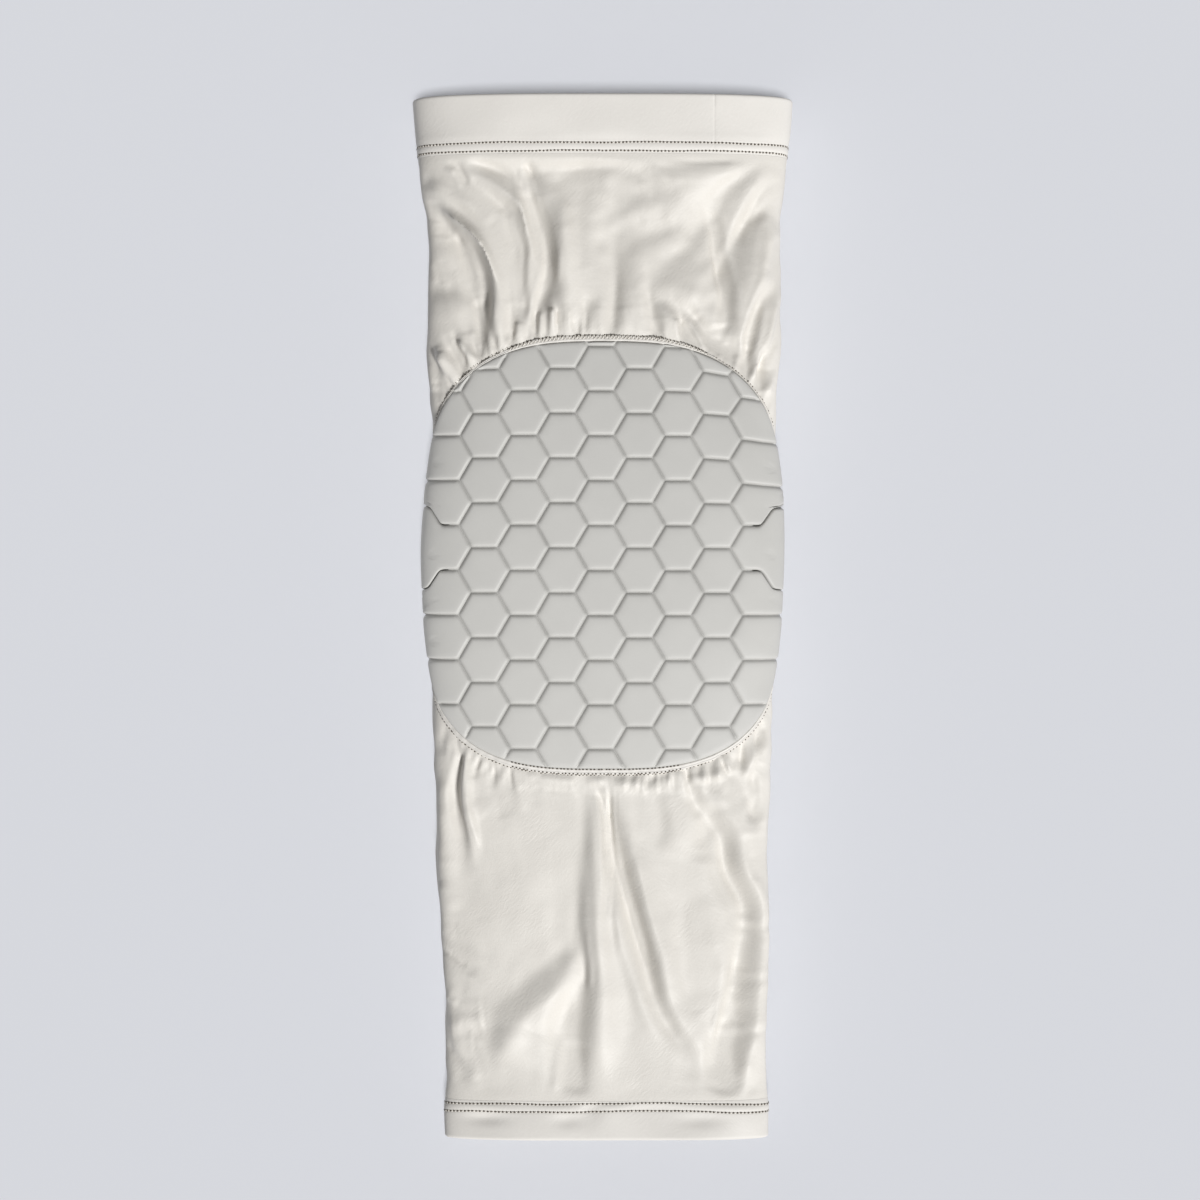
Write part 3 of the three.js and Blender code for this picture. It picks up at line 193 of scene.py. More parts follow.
    ("lower_shin_ridge", [(0.8, -57.0), (1.6, -74.0), (2.2, -91.5), (1.9, -111.1), (1.7, -129.1)], 2.05, [[-0.40, -0.17, 0.29, 0.13, -0.07, -0.22, 0.28, 0.67, 0.19], [-0.17, 0.40, 0.72, 0.30, -0.53, -0.82, -0.41, 0.11, 0.72], [0.83, 0.30, 0.95, 0.69, 0.46, -0.06, 0.56, -0.51, -0.17], [-0.46, 0.05, 0.04, 0.36, -0.11, 0.03, 0.04, 0.28, 0.11]]),
    ("lower_shin_slit", [(3.3, -56.1), (3.1, -68.8), (4.2, -81.8)], 0.80, [[-0.32, -0.13, 0.08, 0.17, 0.13, 0.42, 0.25, 0.21, -0.06], [-0.09, -0.19, 0.14, -0.75, -0.43, 0.41, -0.30, 0.13, -0.10], [0.01, -0.24, -0.21, -0.17, -0.11, 0.09, -0.06, -0.07, 0.08]]),
    ("lower_long_left", [(-8.1, -113.2), (-13.2, -119.8), (-20.1, -125.5), (-26.2, -132.8), (-34.7, -138.1), (-36.2, -144.3), (-38.8, -153.4)], 3.15, [[0.00, -0.23, -0.07, -0.19, 0.08, 0.34, 0.19, 0.09, 0.34], [-0.24, -0.04, -0.37, -0.21, 0.23, 0.52, 1.08, 0.64, -0.33], [0.43, -0.53, 0.33, -0.09, 0.82, 1.03, 0.84, 0.56, -0.04]]),
    ("lower_long_left_inner", [(-15.2, -129.4), (-22.1, -137.1), (-26.4, -145.4), (-31.2, -158.2)], 2.93, [[-0.03, 0.20, 0.06, 0.09, -0.01, 0.27, -0.71, -0.50, 0.19], [-0.01, 0.10, 0.39, 0.67, 0.29, 0.74, 0.53, -0.73, -0.84], [-0.24, 0.12, 1.33, 1.02, 0.83, 0.51, 0.45, 0.54, 0.10]]),
    ("lower_left_soft", [(-55.7, -116.7), (-50.1, -121.4), (-44.4, -126.4)], 2.27, [[0.30, 0.29, 0.30, 0.18, -0.40, 0.00, -0.01, -0.33, 0.29], [0.96, 0.43, -0.31, -0.12, -0.52, -0.39, 0.29, 0.05, -0.24]]),
    ("lower_edge_1015", [(-55.0, -140.2), (-41.6, -138.8)], 1.20, [[0.52, 0.79, 0.72, 0.61, 0.47, 0.33, 0.32, 0.28, 0.19]]),
    ("lower_edge_1028", [(-51.2, -145.2), (-42.1, -145.9)], 1.05, [[0.05, 0.07, -0.01, -0.13, -0.10, -0.11, -0.40, -0.31, -0.09]]),
    ("lower_line_442", [(-58.5, -59.9), (-54.0, -59.9)], 0.84, [[0.11, 0.10, 0.18, 0.20, 0.22, 0.26, 0.18, 0.13, 0.03]]),
    ("lower_pk_540", [(-20.9, -55.4), (-21.8, -60.3)], 1.01, [[-0.14, -0.30, -0.28, -0.25, -0.39, -0.30, -0.29, -0.32, -0.46]]),
    ("lower_pk_570", [(-11.7, -56.6), (-12.1, -61.4)], 1.00, [[-0.45, -0.34, -0.41, -0.26, -0.36, -0.03, 0.05, -0.13, -0.07]]),
    ("lower_pk_620", [(7.2, -54.6), (7.5, -59.9)], 1.10, [[0.04, 0.29, 0.39, 0.58, 0.72, 0.66, 0.03, 0.28, 0.88]]),
    ("lower_pk_634", [(11.8, -55.7), (10.9, -61.3)], 0.97, [[0.49, 0.16, 0.16, 0.54, 0.10, 0.25, 0.09, 0.34, 0.54]]),
    ("lower_pk_651", [(16.3, -55.0), (15.3, -60.4)], 0.90, [[0.71, -0.10, 0.79, -0.07, -0.51, 0.25, 0.48, 0.45, 0.50]]),
    ("lower_pk_668", [(22.8, -54.5), (23.0, -61.2)], 0.89, [[0.41, 0.13, 0.28, 0.29, 0.23, 0.28, -0.07, -0.04, -0.01]]),
    ("lower_pk_690", [(29.4, -51.0), (33.0, -61.4)], 0.90, [[0.25, 0.14, -0.16, -0.41, -0.09, 0.15, 0.41, 0.14, -0.19]]),
    ("lower_pk_702", [(35.9, -52.7), (36.7, -57.9)], 1.17, [[0.74, 0.48, 0.66, 0.81, 1.06, 0.04, 0.35, 0.63, 1.02]]),
    ("lower_pk_713", [(38.7, -51.0), (39.3, -61.5)], 1.03, [[0.17, 0.84, 0.17, 0.00, 0.45, 0.38, 0.73, 0.47, 0.32], [0.56, 0.31, 0.06, -0.18, -0.23, -0.45, -0.37, -0.05, 0.22]]),
    ("lower_pk_726", [(43.1, -47.1), (43.0, -56.4)], 0.92, [[0.29, 0.51, 0.77, 0.17, 0.19, 0.25, -0.08, -0.22, -0.04]]),
    ("lower_slit_743", [(51.6, -43.2), (47.5, -54.5)], 0.91, [[0.22, -0.41, -0.39, -0.12, -0.21, 0.15, 0.15, 0.42, 0.72], [0.35, 0.17, 0.32, 0.46, 0.07, -0.20, 0.23, 0.46, 0.54]]),
    ("lower_slit_755", [(53.6, -41.5), (52.9, -51.7)], 1.03, [[-1.14, -0.41, 0.12, 0.08, 0.49, -0.05, 0.15, 0.40, 0.45]]),
    ("lower_slit_765", [(57.7, -36.0), (56.8, -45.1)], 0.89, [[-0.23, -0.61, -0.38, -0.59, -0.43, 0.07, 0.12, 0.01, 0.00]]),
    ("lower_long_right", [(4.1, -76.6), (8.9, -86.2), (12.2, -98.2), (15.0, -110.2), (17.8, -121.6), (21.4, -134.8), (26.9, -145.2), (33.1, -153.6)], 2.20, [[0.07, 0.12, -0.54, -0.56, -0.12, 0.58, 1.09, 0.58, 0.08], [1.25, 0.34, -1.27, -0.78, 0.17, 1.27, 1.75, 0.87, 0.54], [0.67, 1.16, -0.41, -1.33, 0.16, 1.51, 0.96, 0.75, -0.03], [0.06, -0.23, 0.24, -0.70, 0.14, 1.07, 0.45, 0.33, -0.10]]),
    ("lower_long_right_ridge", [(23.2, -98.6), (26.5, -112.9), (28.9, -125.1), (30.5, -135.8)], 3.32, [[-0.04, 0.09, 0.18, 0.06, 0.30, -0.24, -0.00, 0.21, 0.22], [-0.88, -0.40, 0.65, 0.43, -0.04, -0.10, 0.15, 0.16, 0.74], [-0.31, -0.36, 0.49, 0.07, -0.22, -0.15, -0.10, -0.04, -0.29]]),
    ("lower_soft_664", [(20.9, -58.9), (23.9, -70.7), (23.3, -81.2)], 2.89, [[-0.10, 0.03, 0.22, -0.28, 0.64, 0.21, -0.13, -0.21, -0.40], [0.45, -0.08, -0.02, -0.41, 0.07, 0.46, 0.21, -0.11, -1.03]]),
    ("lower_soft_690", [(31.5, -63.8), (32.4, -73.3), (31.1, -86.1)], 2.51, [[-0.19, 0.19, -0.19, 0.01, 0.07, -0.08, -1.19, -0.90, 0.23], [0.45, 0.28, 0.33, 0.10, -0.25, -0.52, -0.66, -0.17, -0.33]]),
    ("lower_soft_718", [(38.7, -56.4), (43.3, -67.3)], 2.21, [[-1.18, -0.03, 0.65, 0.38, 0.65, 0.37, 0.02, 0.40, -0.54]]),
    ("lower_outer_right", [(38.6, -63.8), (45.8, -75.3), (47.9, -87.4), (53.8, -99.9), (53.9, -112.6)], 2.19, [[-0.19, -0.35, -1.11, -0.47, 0.10, 0.43, 0.34, 0.21, -0.06], [-1.01, -0.84, -3.00, -2.15, -0.00, 1.41, 0.80, 0.78, 0.31], [-0.56, -1.12, -1.86, -1.91, -0.35, 2.86, 0.98, 0.17, 0.03]]),
    ("lower_outer_right_b", [(50.2, -59.7), (53.2, -68.7), (54.5, -77.5)], 1.72, [[0.12, -0.07, 0.20, -0.25, -0.79, 0.03, 0.16, 0.25, -0.08], [0.09, 0.24, 0.53, 0.57, 0.32, 0.50, 0.51, -0.02, -0.20]]),
    ("lower_rb_945", [(55.0, -106.1), (52.0, -118.2), (50.5, -127.9)], 2.20, [[-0.02, -0.58, -1.14, -1.12, -0.85, 0.76, 2.22, 0.81, 0.11], [0.34, 0.13, -2.60, -1.97, -0.79, 0.43, 1.88, 1.18, 0.28]]),
    ("lower_rb_1000", [(52.2, -124.0), (50.6, -134.9), (50.5, -145.8)], 2.06, [[0.42, -1.73, -2.11, -1.57, -0.82, 0.24, 1.87, 1.16, 0.37], [-0.66, -0.94, -0.94, -1.14, 0.02, 0.85, 1.62, 0.90, 0.47]]),
    ("lower_rb_1050", [(51.2, -143.9), (47.6, -152.0), (47.0, -160.9)], 2.05, [[-1.32, -0.65, -0.35, -0.63, -0.16, 0.32, 0.69, -0.00, 0.30], [-0.48, -0.82, -0.65, -0.44, 0.11, 0.05, 0.84, -0.07, -0.14]]),
    ("lower_rb_1085", [(46.9, -159.5), (42.5, -169.3)], 1.94, [[-0.21, -0.35, -0.65, -1.16, -0.92, -0.55, -0.18, 0.29, -0.37]]),
    ("lower_bump_720", [(41.2, -142.9), (42.0, -151.3), (40.9, -164.6)], 3.21, [[-0.76, 0.72, 0.23, -0.33, -0.73, -0.98, -0.39, 0.45, 1.99], [-0.31, -0.81, -0.15, -0.72, -1.34, -1.30, -0.44, 0.74, -0.35]]),
    ("lower_crease_712", [(30.8, -138.9), (39.4, -134.8), (46.6, -128.1)], 1.20, [[0.06, 0.18, 0.32, 0.23, 0.03, 0.10, 0.10, 0.05, 0.03], [-0.32, -0.50, -0.63, -0.25, 0.08, -0.06, -0.03, -0.01, -0.04]]),
    ("lower_low_mid", [(13.8, -141.5), (15.7, -151.9), (19.1, -164.3)], 2.60, [[0.10, -0.18, -0.21, 0.01, 0.12, -0.06, -0.11, -0.15, -0.51], [0.12, 0.20, 0.08, -0.00, 0.02, 0.05, -0.07, 0.08, 0.11]]),
    ("lower_shin_line", [(-5.4, -107.3), (-5.5, -114.6), (-5.0, -121.7), (-5.0, -130.5)], 0.89, [[0.08, -0.07, 0.06, 0.15, 0.26, 0.07, 0.01, -0.01, 0.04], [0.01, -0.07, -0.48, -0.84, 0.18, 0.21, -0.10, -0.22, 0.03]]),
    ("lower_shin_line_up", [(-3.6, -58.7), (-0.6, -71.9), (-1.1, -84.6)], 0.93, [[-0.07, 0.03, -0.09, -0.13, -0.05, -0.46, -1.06, -0.22, -0.34], [0.10, 0.02, 0.06, 0.00, 0.20, -0.04, -0.60, -0.26, -0.15]]),
    ("lower_long_left_line", [(-10.0, -114.7), (-15.8, -124.2), (-22.9, -129.6), (-31.6, -135.1)], 1.54, [[-0.02, -0.10, -0.24, -0.20, 0.04, 0.34, 0.26, -0.03, -0.27], [-0.11, -0.21, -0.11, 0.07, 0.27, 0.46, 0.68, 0.69, 0.63], [0.09, 0.08, -0.02, -0.09, -0.09, -0.17, -0.16, -0.06, 0.02]]),
    ("lower_edge_930", [(-57.0, -108.7), (-51.4, -110.5)], 0.95, [[0.08, 0.06, 0.17, 0.26, 0.15, 0.01, -0.18, -0.16, -0.19]]),
    ("lower_edge_945", [(-57.1, -114.5), (-51.6, -116.9)], 0.89, [[0.20, -0.06, -0.37, -0.17, 0.06, 0.04, 0.02, -0.02, 0.04]]),
    ("lower_edge_962", [(-55.9, -120.1), (-49.6, -124.6)], 0.87, [[0.12, 0.03, 0.03, -0.01, 0.01, 0.08, 0.02, -0.45, -0.11]]),
    ("lower_edge_985", [(-53.7, -128.0), (-47.8, -131.7)], 1.25, [[0.73, 0.38, 0.23, -0.04, -0.13, -0.11, -0.02, -0.04, 0.28]]),
    ("lower_edge_1045", [(-54.2, -149.5), (-44.9, -149.4)], 0.97, [[0.12, 0.12, 0.22, 0.21, 0.22, 0.25, 0.38, 0.38, 0.39]]),
    ("lower_left_mid_soft", [(-46.5, -80.2), (-44.6, -92.1), (-42.0, -100.8)], 2.63, [[1.18, 0.85, -0.10, -0.13, -0.03, 0.31, 0.11, 0.03, 0.04], [0.70, 0.18, -0.04, -0.07, -0.02, -0.14, -0.03, 0.08, 0.20]]),
    ("lower_centre_soft", [(-22.1, -73.5), (-20.5, -88.1), (-22.2, -102.4)], 2.35, [[0.03, -0.14, -0.10, -0.17, -0.15, -0.03, 0.20, 0.10, -0.04], [0.15, 0.08, 0.04, 0.01, -0.12, 0.07, 0.19, 0.01, -0.09], [-0.06, 0.04, 0.08, 0.06, -0.12, -0.20, -0.05, -0.09, -0.11]]),
    ("lower_right_edge_a", [(57.5, -52.3), (58.8, -63.8), (55.3, -73.6)], 1.39, [[-0.47, -1.10, 0.37, 0.21, 0.24, 0.29, 0.04, 0.00, 0.00], [-0.79, -0.78, -0.88, -0.35, 0.56, 0.46, 0.13, 0.02, 0.00]]),
    ("lower_right_edge_c", [(57.3, -81.2), (57.6, -92.1)], 1.19, [[-0.34, -0.15, -0.13, -0.08, 0.12, 0.05, 0.00, 0.00, 0.00]]),
    ("lower_pk_460", [(-51.6, -35.5), (-52.9, -43.0)], 1.01, [[-0.53, -0.45, -0.36, -0.09, -0.27, -0.29, 0.20, 0.12, -0.04]]),
    ("lower_pk_487", [(-40.1, -49.2), (-41.8, -54.3)], 0.83, [[-0.71, 0.40, 0.17, 0.07, -0.11, -0.03, 0.13, 0.05, 0.03]]),
    ("lower_pk_504", [(-35.0, -52.0), (-35.1, -58.0)], 0.85, [[-0.35, -0.04, 0.03, 0.15, 0.19, -0.08, 0.05, -0.21, -0.05]]),
    ("lower_pk_526", [(-27.7, -53.0), (-25.2, -60.4)], 1.04, [[0.26, -0.02, -0.01, -0.05, 0.16, 0.33, 0.42, 0.40, 0.49]]),
    ("lower_pk_555", [(-15.7, -53.4), (-16.5, -60.9)], 1.22, [[0.65, 0.55, 0.63, 0.67, 0.63, 0.67, 0.70, 0.53, 0.71]]),
    ("lower_pk_585", [(-5.1, -56.8), (-5.4, -63.0)], 1.11, [[0.21, 0.08, -0.03, -0.04, -0.25, -0.51, -0.77, -0.73, -0.81]]),
    ("lower_pk_600", [(-1.0, -54.0), (-0.8, -62.7)], 0.95, [[0.30, 0.41, 0.64, 0.74, 0.95, 0.64, 0.54, 0.18, 0.47]]),
    ("lower_pk_679", [(26.0, -53.3), (28.2, -60.8)], 0.82, [[0.22, -0.06, -0.01, 0.25, 0.11, 0.23, 0.13, 0.24, -0.05]]),
    ("lower_pk_736", [(44.0, -46.1), (47.7, -53.5)], 0.80, [[-0.73, 1.24, 0.11, 0.13, -0.01, 0.06, -0.03, 0.06, 0.24]]),
    ("lower_shin_crest", [(2.2, -58.3), (2.7, -68.6), (3.6, -81.1), (3.7, -95.1), (2.7, -109.0)], 0.98, [[-0.04, -0.17, -0.14, 0.07, -0.68, -0.12, -0.02, 0.28, 0.33], [0.53, -0.25, -0.38, -0.08, -0.94, -0.26, -0.20, -0.36, -0.18], [-0.11, 0.02, -0.28, 0.38, -0.02, 0.06, -0.04, -0.02, -0.24]]),
    ("lower_lr_crest", [(7.6, -80.8), (10.8, -95.1), (14.7, -108.8), (18.7, -122.0)], 0.97, [[-0.51, -0.05, -0.23, -0.54, -0.17, -0.13, 0.11, 0.39, 0.57], [-0.73, 0.05, -0.40, -0.31, -0.15, 0.49, 0.58, 0.60, 0.46], [-0.19, 0.42, 0.16, -0.20, -0.14, 0.16, 0.13, 0.01, 0.12]]),
    ("lower_bump_655", [(23.5, -102.4), (24.9, -116.3), (22.6, -128.9)], 1.65, [[0.11, 0.06, -0.13, -0.02, 0.23, 0.14, 0.05, -0.12, 0.02], [0.10, 0.08, 0.25, 0.24, 0.10, -0.11, 0.01, -0.05, -0.02], [-0.14, 0.00, 0.07, 0.08, 0.19, 0.18, -0.02, -0.06, 0.02]]),
    ("lower_rb_edge", [(47.5, -132.6), (44.3, -148.1), (43.9, -163.4)], 1.61, [[0.17, 0.43, -0.59, -0.27, -0.62, -0.61, -0.41, -0.51, -0.35], [-0.54, 0.66, -1.67, -1.08, -1.04, -0.64, -0.53, -0.32, -0.37], [-0.29, -0.30, -0.63, -0.69, -0.48, -0.76, -0.22, 0.07, 0.50]]),
    ("lower_corner_soft", [(-53.0, -147.2), (-48.8, -155.9), (-47.6, -163.6)], 1.71, [[-0.14, 0.07, -0.86, -0.50, 0.79, 0.14, -0.10, 0.05, 0.48], [-0.34, 0.42, 0.17, -0.29, -0.36, 0.32, 0.47, 0.02, 0.05]]),
    ("lower_low_555", [(-14.9, -147.2), (-16.9, -167.5)], 2.16, [[0.01, 0.07, 0.33, -0.07, 0.19, -0.67, -0.57, -0.59, -0.27], [-0.07, -0.01, -0.01, -0.21, 0.54, -0.04, -0.22, -0.42, -0.66]]),
    ("lower_pk_660l", [(20.8, -53.7), (19.8, -58.5)], 0.80, [[0.03, -0.63, -0.06, -0.09, -0.36, 0.16, 0.15, 0.27, 0.25]]),
    ("lower_pk_676l", [(26.4, -52.4), (26.1, -58.2)], 0.88, [[-0.29, 0.61, 0.17, 0.09, 0.09, 0.22, -0.06, 0.56, -0.60]]),
    ("lower_pk_735l", [(46.0, -47.2), (47.4, -53.3)], 0.85, [[-0.26, 0.46, 0.24, -0.18, -0.26, -0.18, -0.41, -0.66, -0.40]]),
    ("lower_pk_760l", [(55.5, -38.3), (55.2, -47.0)], 0.84, [[-0.28, -0.11, -0.13, -0.77, -0.20, 0.21, 0.34, 0.46, 0.27]]),
    ("lower_pk_470l", [(-48.1, -42.5), (-46.5, -50.8)], 0.87, [[-0.59, -0.03, 0.12, -0.31, -0.20, 0.09, -0.05, 0.08, -0.02]]),
    ("lower_pk_487l", [(-41.0, -47.4), (-40.7, -55.4)], 0.83, [[-0.39, -0.18, -0.13, -0.14, 0.08, 0.01, 0.12, -0.18, 0.04]]),
    ("lower_pk_505l", [(-34.7, -50.8), (-34.9, -56.0)], 0.83, [[-0.34, -0.20, -0.27, -0.03, 0.04, 0.13, -0.03, -0.05, 0.30]]),
]

# Strength of the gathers along the seam: angle round the pad (0 right, 90 top), strength.
GATHERS = np.array([
    (-180, 0.10), (-165, 0.25), (-150, 0.80), (-135, 1.00), (-120, 0.70), (-105, 0.40),
    (-90, 0.35), (-75, 0.60), (-60, 0.90), (-45, 1.10), (-32, 1.00), (-20, 0.35),
    (0, 0.05), (20, 0.30), (32, 0.80), (45, 1.00), (60, 0.80), (75, 0.60), (90, 0.55),
    (105, 0.80), (120, 1.00), (135, 1.05), (150, 0.80), (165, 0.25), (180, 0.10),
])


# Width of the sewn strip round the pad: angle round the pad (0 right, 90 top), width.
SEAM_WIDTHS = np.array([
    (-180, 1.2), (-160, 1.2), (-143, 1.5), (-125, 1.8), (-112, 2.1), (-100, 2.3), (-80, 2.3), (-70, 1.9),
    (-50, 1.6), (-32, 1.2), (-15, 0.9), (0, 0.9), (20, 0.9), (35, 0.75), (43, 0.45), (58, 0.4), (65, 0.8), (71, 1.5),
    (79, 2.2), (100, 2.3), (107, 1.9), (113, 1.15), (125, 0.95), (150, 0.95), (165, 1.0), (180, 1.2),
])


# Puckers along the seam: length round the pad from the right, half width, rise, reach out from the seam.
PUCKERS = [
    (41.4, 1.3, -0.13, 2.2), (48.6, 1.3, -0.5, 2.2), (52.8, 1.3, -0.65, 2.2), (57.6, 1.3, -0.67, 2.2),
    (65.4, 1.3, -0.68, 7), (72.3, 1.3, -0.74, 2.2), (75.9, 0.63, -0.07, 7), (78.6, 0.66, -0.09, 2.2),
    (82.5, 1.3, -0.81, 2.2), (97.2, 1.3, -0.51, 2.2), (108.6, 1.3, -0.5, 2.2), (114.6, 0.66, -0.06, 7),
    (121.2, 1.3, -0.41, 2.2), (127.8, 0.86, -0.25, 2.2), (132.3, 1.3, -0.59, 2.2), (137.4, 1.3, -0.62, 7),
    (142.2, 1.3, -0.62, 4.2), (144.9, 0.69, -0.25, 2.2), (149.4, 1.3, -0.59, 7), (153, 0.55, -0.08, 4.2),
    (156, 1.3, -0.58, 7), (159.9, 1.3, -0.25, 7), (162, 0.55, -0.07, 7), (166.8, 1.3, -0.69, 4.2),
    (176.1, 1.3, -0.69, 4.2), (179.7, 1.29, -0.69, 2.2), (184.8, 1.3, -0.69, 2.2), (194.4, 1.3, 0.62, 4.2),
    (204.9, 1.3, 0.38, 7), (273.6, 1.3, 0.18, 2.2), (284.1, 1.3, 0.13, 2.2), (298.5, 1.3, 0.14, 2.2),
    (307.8, 1.3, 0.2, 2.2), (311.4, 0.78, 0.12, 7), (314.4, 1.16, 0.08, 2.2), (317.4, 1.3, 0.15, 2.2),
    (321, 0.95, 0.07, 2.2), (349.5, 1.3, 0.14, 2.2), (359.1, 1.3, 0.19, 2.2), (367.2, 1.3, 0.24, 2.2),
    (371.7, 1.3, 0.24, 2.2), (374.1, 1.3, 0.37, 4.2), (376.2, 0.55, 0.03, 2.2), (378.6, 0.72, 0.16, 7),
    (380.7, 0.55, 0.05, 2.2), (382.5, 1.3, 0.28, 2.2), (388.2, 0.75, 0.13, 2.2), (390.3, 1.3, 0.66, 4.2),
    (394.8, 1.3, 0.44, 4.2), (399.6, 1.3, 0.62, 2.2), (403.5, 1.3, 0.34, 7), (405.6, 0.55, 0.06, 2.2),
    (408.3, 0.6, 0.11, 2.2), (410.4, 0.93, 0.38, 7), (421.2, 1.3, 0.98, 4.2), (433.8, 1.3, -0.32, 2.2),
    (444.6, 1.3, -0.73, 2.2),
]


# ------------------------------------------------------------------ small helpers
def ease(t):
    t = np.clip(t, 0.0, 1.0)
    return t * t * (3 - 2 * t)


def bell(x, centre, width):
    return np.exp(-(((x - centre) / width) ** 2))


def read_sections(column, y):
    """Smooth curve through a column of SECTIONS."""
    ys, v = SECTIONS[:, 0], SECTIONS[:, column]
    y = np.asarray(y, float)
    n = len(ys)
    i = np.clip(np.searchsorted(ys, y, side="left") - 1, 0, n - 2)
    lo = np.clip(np.arange(n) - 1, 0, None)
    hi = np.clip(np.arange(n) + 1, None, n - 1)
    slope = (v[hi] - v[lo]) / (ys[hi] - ys[lo])
    span = ys[i + 1] - ys[i]
    t = (y - ys[i]) / span
    t2, t3 = t * t, t * t * t
    return (v[i] * (2 * t3 - 3 * t2 + 1) + slope[i] * span * (t3 - 2 * t2 + t)
            + v[i + 1] * (3 * t2 - 2 * t3) + slope[i + 1] * span * (t3 - t2))


# ------------------------------------------------------------------ the tube's surface
GRID_Y = np.linspace(-HALF_LENGTH, HALF_LENGTH, 1488)
CROWN_N, LOWER_N = 120, 40


def half_sections(y):
    """Half of each section from the crest to the middle of the underside."""
    w = read_sections(1, y)[:, None]
    h = read_sections(3, y)[:, None]
    side = read_sections(4, y)[:, None]
    rise, foot = h - side, w - FOOT_INSET
    a = (math.pi / 2) * (1 - np.arange(CROWN_N + 1) / CROWN_N)[None, :]
    c, d = np.cos(a), np.sin(a)
    c[:, 0], d[:, -1] = 0, 0
    x1, z1 = w * c ** (2 / CROWN_POWER), rise * d ** (2 / CROWN_POWER)
    nx = (x1 / w) ** (CROWN_POWER - 1) / w
    nz = (z1 / rise) ** (CROWN_POWER - 1) / rise
    size = np.hypot(nx, nz)
    nx, nz = nx / size, nz / size
    b = (math.pi / 2) * (np.arange(1, LOWER_N + 1) / LOWER_N)[None, :]
    x2, z2 = foot + FOOT_INSET * np.cos(b), side * (1 - np.sin(b))
    mx, mz = np.cos(b) / FOOT_INSET + 0 * side, -np.sin(b) / side
    size = np.hypot(mx, mz)
    mx, mz = mx / size, mz / size
    o = np.zeros_like(w)
    X, Z = np.hstack([x1, x2, o]), np.hstack([side + z1, z2, o])
    NX, NZ = np.hstack([nx, mx, o]), np.hstack([nz, mz, o - 1])
    S = np.hstack([o, np.cumsum(np.hypot(np.diff(X, axis=1), np.diff(Z, axis=1)), axis=1)])
    return X, Z, NX, NZ, S


TABLE_X, TABLE_Z, TABLE_NX, TABLE_NZ, TABLE_S = half_sections(GRID_Y)


def section_lengths(y):
    """Lengths from the crest to the widest line, the edge of the underside and its middle."""
    pick = [np.interp(y, GRID_Y, TABLE_S[:, i]) for i in (CROWN_N, CROWN_N + LOWER_N, CROWN_N + LOWER_N + 1)]
    return pick


def on_tube(s, y, lift=0.0):
    """Points of the tube at length s round from the crest and y along, raised by lift, and the normals."""
    s, y, lift = np.broadcast_arrays(np.asarray(s, float), np.asarray(y, float), np.asarray(lift, float))
    shape = s.shape
    s, y, lift = s.ravel(), y.ravel(), lift.ravel()
    sign, r = np.where(s < 0, -1.0, 1.0), np.abs(s)
    step = GRID_Y[1] - GRID_Y[0]
    fy = np.clip((y - GRID_Y[0]) / step, 0, len(GRID_Y) - 1.001)
    iy = fy.astype(int)
    ty = fy - iy
    found = []
    for k in (0, 1):
        row = iy + k
        lo = np.zeros(len(s), int)
        hi = np.full(len(s), TABLE_S.shape[1] - 1)
        while np.any(hi - lo > 1):
            mid = (lo + hi) // 2
            go = TABLE_S[row, mid] <= r
            lo, hi = np.where(go, mid, lo), np.where(go, hi, mid)
        t = np.clip((r - TABLE_S[row, lo]) / np.maximum(TABLE_S[row, hi] - TABLE_S[row, lo], 1e-9), 0, 1)
        found.append([A[row, lo] * (1 - t) + A[row, hi] * t for A in (TABLE_X, TABLE_Z, TABLE_NX, TABLE_NZ)])
    m = [found[0][j] * (1 - ty) + found[1][j] * ty for j in range(4)]
    size = np.hypot(m[2], m[3])
    nx, nz = m[2] / size, m[3] / size
    x = read_sections(2, y) + sign * (m[0] + nx * lift)
    z = m[1] + nz * lift
    return (np.stack([x, y, z], -1).reshape(shape + (3,)),
            np.stack([sign * nx, 0 * nx, nz], -1).reshape(shape + (3,)))


# ------------------------------------------------------------------ the pad's outline
def outline_at(a, offset=0.0):
    c, d = np.cos(a), np.sin(a)
    power = np.where(d > 0, PAD_POWER, PAD_LOWER_POWER)
    length = np.where(d > 0, PAD_HALF_LENGTH, PAD_LOWER_LENGTH)
    s = PAD_HALF_WIDTH * np.sign(c) * np.abs(c) ** (2 / power)
    v = length * np.sign(d) * np.abs(d) ** (2 / power)
    ns = np.sign(c) * np.abs(s / PAD_HALF_WIDTH) ** (power - 1) / PAD_HALF_WIDTH
    nv = np.sign(d) * np.abs(v / length) ** (power - 1) / length
    size = np.hypot(ns, nv)
    return np.stack([s + ns / size * offset, PAD_CENTRE_Y + v + nv / size * offset], -1), np.stack([ns / size, nv / size], -1)


_a = np.linspace(0, 2 * math.pi, 6001)
_p, _ = outline_at(_a)
_run = np.concatenate([[0], np.cumsum(np.hypot(*np.diff(_p, axis=0).T))])
OUTLINE_LENGTH = _run[-1]


def outline_by_length(u, offset=0.0):
    """Places on the outline at length u round it, counted from the right, and outward normals."""
    return outline_at(np.interp(np.mod(u, OUTLINE_LENGTH), _run, _a), offset)


def outline_degrees(u):
    a = np.interp(np.mod(u, OUTLINE_LENGTH), _run, _a)
    return np.degrees(np.arctan2(np.sin(a), np.cos(a)))


def seam_width(u):
    return np.interp(outline_degrees(u), SEAM_WIDTHS[:, 0], SEAM_WIDTHS[:, 1])


